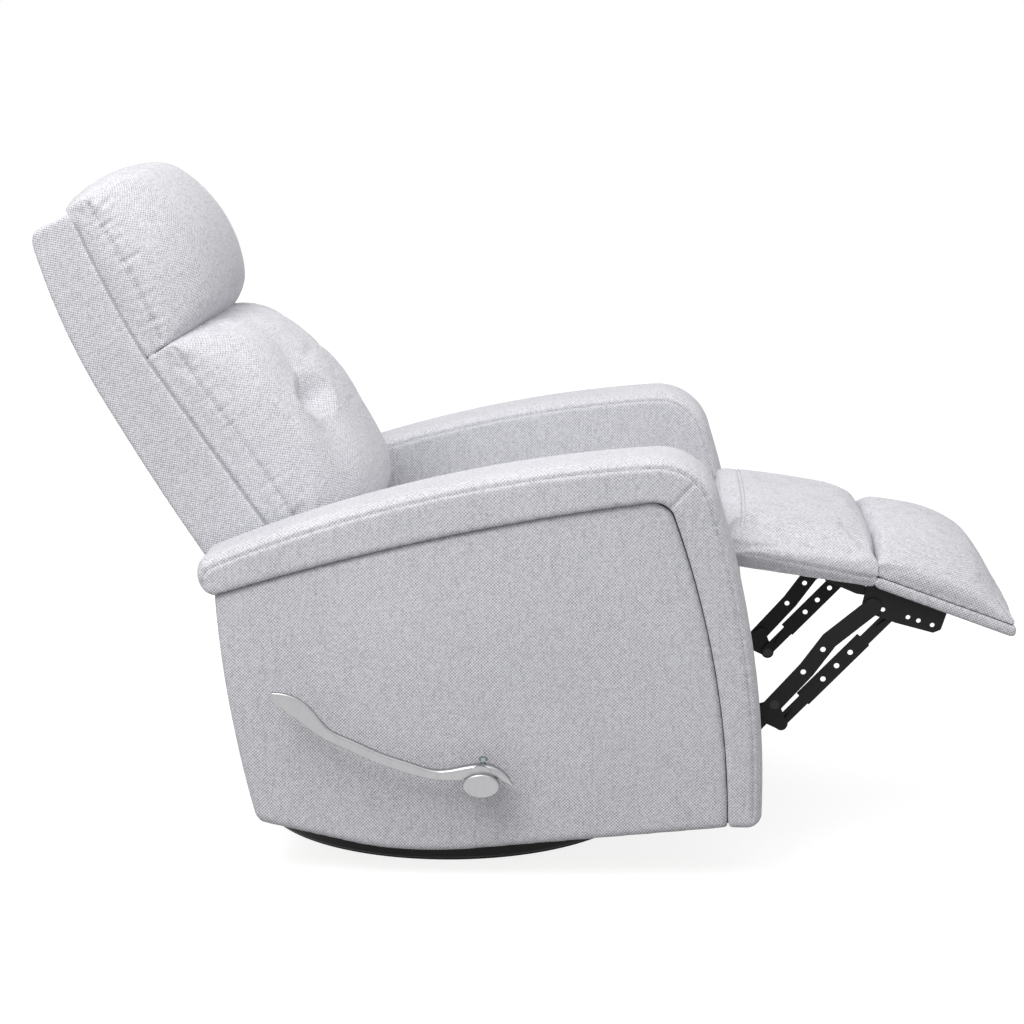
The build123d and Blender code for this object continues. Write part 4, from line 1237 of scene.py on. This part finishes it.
@dataclass
class Back:
    """Reclining back: covered shell, tufted cushion and headrest."""

    shell_fill: Padding = Padding(voxel=0.0045, smooth=4)
    shell_swell: float = 0.0006
    pad_fill: Padding = Padding(cap=0.012, soft=3)
    fullness: float = 0.004
    narrow: float = 0.972
    rest_depth: float = 0.002
    rest_facing: float = -0.4
    seam: Pair = (0.0035, 0.003)
    seam_gathers: Gathers = Gathers(0.02, 0.0016, 0.019)
    seam_seeds: tuple[int, int] = (11, 12)
    seam_reach: float = 0.012
    seam_offset: float = 0.004
    seam_rise: float = 0.8
    seam_span: int = 5
    # Reach, depth, place across, evening and radius of the grey strip of painted shade beside the cushions.
    shade_strip_reach: float = -0.03
    shade_strip_n: float = 0.0245
    shade_strip_y: float = 0.2405
    shade_strip_even: int = 3
    shade_strip_radius: float = 0.0018
    settle_keep: float = 0.955
    flap: tuple[Pair, Pair] = ((-0.291, 0.324), (-0.277, 0.366))
    flap_half: float = 0.238
    flap_step: float = 0.004
    tuft_y: float = 0.122
    tuft_t: float = -0.183
    tuft_drift: float = 0.25
    tuft_radius: float = 0.008
    tuft_depth: float = 0.002
    front_from: float = 0.05
    front_reach: float = 0.05
    crease_width: float = 0.0045
    crease_depth: float = 0.0058
    crease_up: float = 0.055
    crease_down: float = 0.012
    valley_width: float = 0.03
    valley_depth: float = 0.009
    valley_up: float = 0.17
    valley_down: float = 0.1
    hump_y: float = 0.188
    hump_width: float = 0.035
    hump_rise: float = 0.006
    gathers: tuple[Pair, ...] = (
        (0.06, 0.03), (0.12, 0.042), (0.2, 0.026), (0.45, 0.04), (0.52, 0.024), (0.86, 0.03)
    )
    gather_spread: float = 0.35
    gather_seam: Pair = (0.004, 0.0017)

    def build(self, fabrics: Fabrics) -> None:
        """Makes the back's pieces and dresses them.

        Args:
            fabrics: Fabric and thread.
        """
        parts = ["back_side_left", "back_side_right", "back_rear_panel"]
        shell = upholster("back_shell", parts, self.shell_fill, self.shell_swell)
        fabrics.dress(shell, Grain.BACK, "back")
        for name, node in (("headrest_pad", "headrest"), ("back_pad", "back_cushion")):
            pad = upholster(name, [node], self.pad_fill, self.fullness, self.held)
            set_points(pad, points_of(pad) * np.array([1.0, self.narrow, 1.0]))
            if node == "back_cushion":
                self.tuft(pad)
            self.seams(pad, node, fabrics)
            fabrics.dress(pad, Grain.BACK, "back")
            if node == "back_cushion":
                self.settle(pad)
        self.build_flap(fabrics)
        # Grey strips in the thread's colour stand in for the shadow in the gaps beside the cushions: painted
        # shade.
        for side, sign in SIDES:
            dressed(self.build_shade_strip(side, sign), fabrics.thread, "back")

    def build_shade_strip(self, side: str, sign: int) -> Piece:
        """Makes the grey strip in the gap between the back's side and the cushions, painted shade for the
        shadow in the gap.

        Args:
            side: Side of the chair.
            sign: 1 on the left and -1 on the right.

        Returns:
            The strip of painted shade.
        """
        node = "back_side_" + side
        low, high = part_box(node)
        rim = end_loop(node, high.y if sign > 0 else low.y)
        line = longest_run(rim, lambda loop: self.on_seam(BACK.local(loop), self.shade_strip_reach))
        local = BACK.local(line)
        local[:, 0] += self.shade_strip_n - local[:, 0].max()
        local[:, 1] = sign * self.shade_strip_y
        line = rounded(BACK.world(local), self.shade_strip_even)
        return tube("back_tape_" + side, line, self.shade_strip_radius)

    def build_flap(self, fabrics: Fabrics) -> None:
        """Hangs the flap that closes the gap between the back and the low rear panel.

        Args:
            fabrics: Fabric and thread.
        """
        start, end = (np.array([x, 0.0, z]) for x, z in self.flap)
        flap = strip("rear_flap", resampled(np.array([start, end]), self.flap_step), self.flap_half)
        flap.data.materials.append(fabrics.cuts[Grain.BACK])
        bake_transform(flap)
        LOG.info("%s between chair and back", flap.name)

    def settle(self, piece: Piece) -> None:
        """Gives a piece of the back cushion a mesh of its own."""
        anchor, up = BACK.world(np.zeros(3)), BACK.world(np.array([0.0, 0.0, 1.0]))
        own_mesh(piece)

    def held(self, points: np.ndarray, normals: np.ndarray) -> np.ndarray:
        """Says which points of a cushion rest on the frame behind it.

        Args:
            points: The cushion's points.
            normals: Outward direction at each.

        Returns:
            True for each point that rests.
        """
        out = math.radians(BACK.lean)
        facing = normals[:, 0] * math.cos(out) + normals[:, 2] * math.sin(out)
        return (BACK.local(points)[:, 0] < self.rest_depth) | (facing < self.rest_facing)

    def seams(self, pad: Piece, node: str, fabrics: Fabrics) -> None:
        """Sews the double top-stitched seam down both sides of a cushion.

        Args:
            pad: The cushion.
            node: The CAD node that it stands for.
            fabrics: Fabric and thread.
        """
        low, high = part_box(node)
        for (side, sign), edge, seed in zip(SIDES, (low.y, high.y), self.seam_seeds):
            rim = end_loop(node, edge)
            line = laid(pad, longest_run(rim, lambda loop: self.on_seam(BACK.local(loop), self.seam_reach)))
            groove(pad, line, *self.seam)
            pucker(pad, line, self.seam_gathers, seed)
            if node == "headrest":
                self.gather(pad, line, -sign)
            inward = rim.mean(axis=0) - line
            inward /= np.linalg.norm(inward, axis=1, keepdims=True)
            across = np.array([0.0, -sign, 0.0])
            for row, offset in enumerate((inward, across)):
                path = line + offset * self.seam_offset
                stitches = fabrics.sew(f"{pad.name}_stitch_{side}_{row}", pad, path, "back")
                if node == "back_cushion":
                    self.settle(stitches)

    def gather(self, pad: Piece, line: np.ndarray, inward: float) -> None:
        """Draws the headrest's fabric into short gathers at its seam.

        Args:
            pad: The headrest.
            line: Its seam, from either end.
            inward: 1 or -1, the way to the chair's middle.
        """
        if line[0, 2] < line[-1, 2]:
            line = line[::-1]
        for share, length in self.gathers:
            start = line[int(share * (len(line) - 1))]
            end = start + length * np.array([0.0, inward, self.gather_spread * (0.5 - share)])
            groove(pad, laid(pad, resampled(np.array([start, end]))), *self.gather_seam)

    def on_seam(self, rim: np.ndarray, reach: float) -> np.ndarray:
        """Says which points of a rim, in the back's axes, are on its front edge.

        Args:
            rim: Points round the rim.
            reach: How far forward the edge lies at least.

        Returns:
            True for each point on the edge.
        """
        along = np.roll(rim, -self.seam_span, axis=0) - np.roll(rim, self.seam_span, axis=0)
        rise = np.abs(along[:, 2]) / np.linalg.norm(along, axis=1)
        return (rim[:, 0] > reach) & (rise > self.seam_rise)

    def tuft(self, pad: Piece) -> None:
        """Pulls the two sewn tufts into the cushion, each with a crease running up from it.

        Args:
            pad: The cushion.
        """
        local = BACK.local(points_of(pad))
        front = ramp(local[:, 0], self.front_from, self.front_reach)
        for _, sign in SIDES:
            up = local[:, 2] - self.tuft_t
            across = local[:, 1] - sign * self.tuft_y + sign * self.tuft_drift * up
            pinch = self.tuft_depth * np.exp(-np.hypot(across, up) / self.tuft_radius)
            crease = self.crease_depth * np.exp(-np.abs(across) / self.crease_width)
            crease *= faded(up, self.crease_up, self.crease_down)
            valley = self.valley_depth * np.exp(-((across / self.valley_width) ** 2))
            beside = (local[:, 1] - sign * self.hump_y) / self.hump_width
            hump = self.hump_rise * np.exp(-(beside ** 2))
            broad = (valley - hump) * faded(up, self.valley_up, self.valley_down)
            local[:, 0] -= front * (pinch + crease + broad)
        set_points(pad, BACK.world(local))


@dataclass
class Seat:
    """Seat cushion on its straps, with an apron over the front rail."""

    fill: Padding = Padding(cap=0.014)
    rest_height: float = 0.006
    rest_facing: float = -0.8
    apron: tuple[Pair, ...] = ((0.499, 0.03), (0.5168, 0.004), (0.517, -0.024))
    apron_half: float = 0.236
    apron_step: float = 0.003

    def build(self, fabrics: Fabrics) -> None:
        """Makes the cushion and the apron, and dresses them.

        Args:
            fabrics: Fabric and thread.
        """
        pad = upholster("seat_pad", ["seat_cushion"], self.fill, held=self.held)
        fabrics.dress(pad, Grain.SEAT, "seat")
        line = SEAT.line([(u, 0.0, v) for u, v in self.apron], self.apron_step)
        fabrics.dress(strip("seat_apron", line, self.apron_half), Grain.SEAT, "seat")

    def held(self, points: np.ndarray, normals: np.ndarray) -> np.ndarray:
        """Says which points rest on the straps."""
        return (SEAT.local(points)[:, 2] < self.rest_height) | (normals[:, 2] < self.rest_facing)


@dataclass
class Footrest:
    """End pad over its covered board, and the middle pad behind it, with a crease between them."""

    pad_fill: Padding = Padding(cap=0.01, soft=3)
    board_fill: Padding = Padding(voxel=0.004, smooth=3)
    swell: float = 0.0003
    rest_height: float = 0.019
    half: float = 0.2385
    height: float = 0.075
    crease_reach: float = 0.05
    crease_meet: float = 0.0034
    crease_slope: float = 0.102
    crease_lean: float = 0.17
    board_meet: float = 0.0048
    board_top: float = 0.017
    board_fade: float = 0.003
    corner_from: float = 0.2
    corner_meet: float = 0.008
    fold_keep: float = 0.93
    middle_length: float = 0.224
    boxing_seam: Pair = (0.003, 0.0026)
    boxing_gathers: Gathers = Gathers(0.01, 0.0009, 0.02)
    boxing_seed: int = 21
    seam_rear: float = 0.0245
    seam_crease: float = 0.0135
    seam_end: float = -0.004
    face_top: float = 0.046
    face_fade: float = 0.026
    face_from: float = 0.224
    face_reach: float = 0.008
    face_rear: float = -0.24
    face_rear_fade: float = 0.03
    turn_under: float = 0.5
    across_u: float = -0.2
    across_half: float = 0.2
    across_seam: Pair = (0.004, 0.0014)
    across_gap: float = 0.0025
    toe_start: float = 0.13
    toe_reach: float = 0.07
    toe_rise: float = 0.04
    toe_drop: float = 0.013
    tucks: tuple[float, ...] = (-0.185, -0.125, -0.06, 0.0, 0.06, 0.125, 0.185)
    tuck_ends: tuple[Pair, Pair] = ((0.15, 0.065), (0.214, 0.03))
    tuck_seam: Pair = (0.01, 0.0024)
    corner: tuple[Pair, Pair] = ((0.176, 0.041), (0.211, 0.017))
    corner_seam: Pair = (0.003, 0.0022)

    def build(self, fabrics: Fabrics) -> None:
        """Makes both pads and the end board, and dresses them.

        Args:
            fabrics: Fabric and thread.
        """
        end = upholster("end_pad", ["footrest_pad"], self.pad_fill, held=self.held_by(END_PAD))
        self.meet(end, END_PAD, -1)
        self.shape_toe(end, fabrics)
        fabrics.dress(end, Grain.END, "footrest")
        lip = upholster("end_board", ["footrest_board"], self.board_fill)
        self.meet(lip, END_PAD, -1)
        fabrics.dress(lip, Grain.END, "footrest")
        nodes = ["mid_pad", "mid_board"]
        middle = upholster("middle_pad", nodes, self.pad_fill, self.swell, self.held_by(MIDDLE_PAD))
        self.meet(middle, MIDDLE_PAD, 1)
        self.face(middle)
        seams = self.boxing(middle, fabrics)
        fabrics.dress(middle, Grain.MIDDLE, "middle_pad")
        for piece in (middle, *seams):
            self.fold(piece)

    def held_by(self, axes: Slant) -> Hold:
        """Makes the test for points that rest on a board."""
        return lambda points, normals: axes.local(points)[:, 2] < self.rest_height

    def meet(self, pad: Piece, axes: Slant, way: int) -> None:
        """Draws a pad's end out to meet its neighbour along the crease.

        Args:
            pad: The pad.
            axes: Its own axes, from the crease.
            way: 1 where the crease lies ahead of the pad, and -1 where it lies behind.
        """
        local = axes.local(points_of(pad))
        near = eased(np.clip(1 + way * local[:, 0] / self.crease_reach, 0, 1))
        board = self.board_meet * ramp(local[:, 2], self.board_top, -self.board_fade)
        slope = self.crease_slope - way * self.crease_lean
        corner = ramp(np.abs(local[:, 1]), self.corner_from, self.half - self.corner_from)
        corner *= self.corner_meet * corner * (local[:, 2] > self.board_top)
        meet = self.crease_meet + board + corner + slope * np.clip(local[:, 2], 0, self.height)
        local[:, 0] += way * near * meet
        set_points(pad, axes.world(local))

    def face(self, pad: Piece) -> None:
        """Covers the middle pad's sides and its board in one, and turns the boxing under.

        Args:
            pad: The middle pad.
        """
        local = MIDDLE_PAD.local(points_of(pad))
        low = ramp(local[:, 2], self.face_top, -self.face_fade)
        low *= ramp(np.abs(local[:, 1]), self.face_from, self.face_reach)
        low *= ramp(local[:, 0], self.face_rear, self.face_rear_fade)
        ends = (-self.middle_length, self.seam_end)
        seam = np.interp(local[:, 0], ends, (self.seam_rear, self.seam_crease))
        side = self.half - self.turn_under * np.clip(seam - local[:, 2], 0, None)
        local[:, 1] += low * (np.copysign(side, local[:, 1]) - local[:, 1])
        set_points(pad, MIDDLE_PAD.world(local))

    def shape_toe(self, pad: Piece, fabrics: Fabrics) -> None:
        """Draws the end pad's front down, with tucks along its edge and a seam at each corner.

        Args:
            pad: The end pad.
            fabrics: Fabric and thread.
        """
        local = END_PAD.local(points_of(pad))
        ahead = ramp(local[:, 0], self.toe_start, self.toe_reach)
        high = ramp(local[:, 2], self.board_top, self.toe_rise)
        local[:, 2] -= self.toe_drop * eased(ahead) * high
        set_points(pad, END_PAD.world(local))
        for y in self.tucks:
            line = END_PAD.line([(u, y, v) for u, v in self.tuck_ends])
            groove(pad, laid(pad, line, END_PAD.down), *self.tuck_seam)
        for side, sign in SIDES:
            line = END_PAD.line([(u, sign * self.half, v) for u, v in self.corner])
            line = laid(pad, line, (0.0, -sign, 0.0))
            groove(pad, line, *self.corner_seam)
            fabrics.sew("end_stitch_" + side, pad, line, "footrest")

    def boxing(self, pad: Piece, fabrics: Fabrics) -> list[Piece]:
        """Sews the boxing strip round the middle pad's sides.

        Args:
            pad: The middle pad.
            fabrics: Fabric and thread.

        Returns:
            The rows of stitches.
        """
        rows = []
        ends = ((-self.middle_length, self.seam_rear), (self.seam_end, self.seam_crease))
        for side, sign in SIDES:
            line = MIDDLE_PAD.line([(u, sign * self.half, v) for u, v in ends])
            line = laid(pad, line, (0.0, -sign, 0.0))
            groove(pad, line, *self.boxing_seam)
            pucker(pad, line, self.boxing_gathers, self.boxing_seed + sign)
            rows.append(fabrics.sew("middle_stitch_" + side, pad, line, "middle_pad"))
        line = MIDDLE_PAD.line([(self.across_u, sign * self.across_half, self.height) for sign in (-1, 1)])
        line = laid(pad, line, MIDDLE_PAD.down)
        groove(pad, line, *self.across_seam)
        for row, shift in enumerate((-self.across_gap, self.across_gap)):
            path = line + np.array([shift, 0.0, 0.0])
            rows.append(fabrics.sew(f"middle_stitch_across_{row}", pad, path, "middle_pad"))
        return rows

    def fold(self, piece: Piece) -> None:
        """Gives a piece of the middle pad a mesh of its own.

        Args:
            piece: The pad or a row of its stitches.
        """
        anchor = MIDDLE_PAD.world(np.array([-self.middle_length, 0.0, 0.0]))
        axis = MIDDLE_PAD.world(np.array([1.0, 0.0, 0.0])) - MIDDLE_PAD.world(np.zeros(3))
        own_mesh(piece)


@dataclass
class Metalwork:
    """Steel of the base, the seat mechanism and the footrest linkage."""

    bevel: float = 0.0006
    segments: int = 2
    sharp: float = 40.0
    screw: str = "lever_screw"

    def build(self) -> None:
        """Dresses the CAD pieces that keep their shape."""
        finishes = (BLACK_STEEL, DARK_RIVET, SATIN, FELT, RACE, WOOD, STRAP)
        materials = {finish.slot: finish.make() for finish in finishes}
        zinc = ZINC.make()
        slots = {row["node"]: row["material_slot"] for row in frame["record"]["subparts"]}
        for name, node in frame["nodes"].items():
            slot = slots[name]
            if node.hide_render or slot not in materials:
                continue
            node.data.materials.clear()
            node.data.materials.append(zinc if name == self.screw else materials[slot])
            if slot != STRAP.slot:
                self.soften(node)
            LOG.info("%s keeps its CAD shape", name)

    def soften(self, node: Piece) -> None:
        """Breaks a piece's sharp edges.

        Args:
            node: The piece.
        """
        weld = node.modifiers.new("weld", "WELD")
        weld.merge_threshold = WELD
        bevel = node.modifiers.new("edge", "BEVEL")
        bevel.width = self.bevel
        bevel.segments = self.segments
        bevel.limit_method = "ANGLE"
        bevel.angle_limit = math.radians(self.sharp)
        bevel.harden_normals = False


@dataclass(frozen=True)
class Lamp:
    """One soft square lamp: where it hangs, the point that it faces, its width and its watts."""

    name: str
    place: tuple[float, float, float]
    aim: tuple[float, float, float]
    size: float
    power: float

    def build(self) -> None:
        """Hangs the lamp."""
        data = bpy.data.lights.new(self.name, "AREA")
        data.size = self.size
        data.energy = self.power
        lamp = bpy.data.objects.new(self.name, data)
        lamp.location = self.place
        lamp.rotation_euler = (Vector(self.aim) - Vector(self.place)).to_track_quat("-Z", "Y").to_euler()
        bpy.context.scene.collection.objects.link(lamp)


@dataclass
class Studio:
    """White floor, soft light and the camera."""

    azimuth: float = 3.28
    elevation: float = 11.09
    distance: float = 3.731
    target: tuple[float, float, float] = (0.093, 0.0, 0.463)
    lens: float = 84.97
    sensor: float = 36.0
    floor_half: float = 9.0
    ambient: float = 0.72
    floor_pale: float = 0.3
    floor_glow: float = 0.84
    lamps: tuple[Lamp, ...] = (
        Lamp("top_light", (0.1, -0.2, 3.0), (0.1, 0.0, 0.4), 3.2, 20.0),
        Lamp("key_light", (-0.8, -1.9, 2.6), (-0.1, 0.0, 0.6), 1.6, 42.0),
    )

    def build(self) -> None:
        """Sets the stage."""
        scene = bpy.context.scene
        scene.view_settings.view_transform = "Standard"
        self.build_camera(scene)
        self.build_world(scene)
        self.build_floor()
        for lamp in self.lamps:
            lamp.build()

    def build_camera(self, scene: bpy.types.Scene) -> None:
        """Stands the camera where the photograph was taken from.

        Args:
            scene: Scene to add to.
        """
        camera = bpy.data.objects.new("camera", bpy.data.cameras.new("camera"))
        scene.collection.objects.link(camera)
        turn, rise = math.radians(self.azimuth), math.radians(self.elevation)
        back = Vector((math.sin(turn) * math.cos(rise), -math.cos(turn) * math.cos(rise), math.sin(rise)))
        camera.location = Vector(self.target) + back * self.distance
        camera.rotation_euler = (-back).to_track_quat("-Z", "Y").to_euler()
        camera.data.lens = self.lens
        camera.data.sensor_width = self.sensor
        scene.camera = camera

    def build_world(self, scene: bpy.types.Scene) -> None:
        """Lights the object evenly, and shows white behind it.

        Args:
            scene: Scene to add to.
        """
        world = bpy.data.worlds.new("studio")
        world.use_nodes = True
        scene.world = world
        nodes, links = world.node_tree.nodes, world.node_tree.links
        light = nodes["Background"]
        light.inputs["Color"].default_value = WHITE
        light.inputs["Strength"].default_value = self.ambient
        shown = nodes.new("ShaderNodeBackground")
        shown.inputs["Color"].default_value = WHITE
        mix = nodes.new("ShaderNodeMixShader")
        links.new(seen_directly(world.node_tree), mix.inputs[0])
        links.new(light.outputs[0], mix.inputs[1])
        links.new(shown.outputs[0], mix.inputs[2])
        links.new(mix.outputs[0], nodes["World Output"].inputs["Surface"])

    def build_floor(self) -> None:
        """Lays a pale floor that shows white and keeps the object's shadow."""
        half = self.floor_half
        corners = [(-half, -half, 0), (half, -half, 0), (half, half, 0), (-half, half, 0)]
        floor = add_shape("floor", corners, [(0, 1, 2, 3)])
        shader = Shader("floor")
        seen = seen_directly(shader.material.node_tree)
        floor.data.materials.append(shader.finish(
            Base_Color=(*(self.floor_pale,) * 3, 1.0),
            Roughness=1.0,
            Specular_IOR_Level=0.0,
            Emission_Color=WHITE,
            Emission_Strength=shader.math("MULTIPLY", seen, self.floor_glow),
        ))


def seen_directly(tree: bpy.types.NodeTree) -> Socket:
    """Gives 1 for rays from the camera, in reflections or through glass, and 0 for light.

    Args:
        tree: Node tree to add to.

    Returns:
        The socket.
    """
    path = tree.nodes.new("ShaderNodeLightPath")
    total = path.outputs["Is Camera Ray"]
    for name in ("Is Glossy Ray", "Is Transmission Ray"):
        largest = tree.nodes.new("ShaderNodeMath")
        largest.operation = "MAXIMUM"
        tree.links.new(total, largest.inputs[0])
        tree.links.new(path.outputs[name], largest.inputs[1])
        total = largest.outputs[0]
    return total


def main() -> None:
    """Builds the recliner's looks piece by piece."""
    logging.basicConfig(level=logging.INFO, format="%(name)s: %(message)s")
    Studio().build()
    fabrics = Fabrics()
    for side, sign in SIDES:
        Arm(side, sign).build(fabrics)
    rear = upholster("rear_cover", ["rear_panel"], Padding(smooth=2, fine=0))
    fabrics.dress(rear, Grain.UPRIGHT, "chair")
    Back().build(fabrics)
    Seat().build(fabrics)
    Footrest().build(fabrics)
    Metalwork().build()


if __name__ == "__main__":
    main()
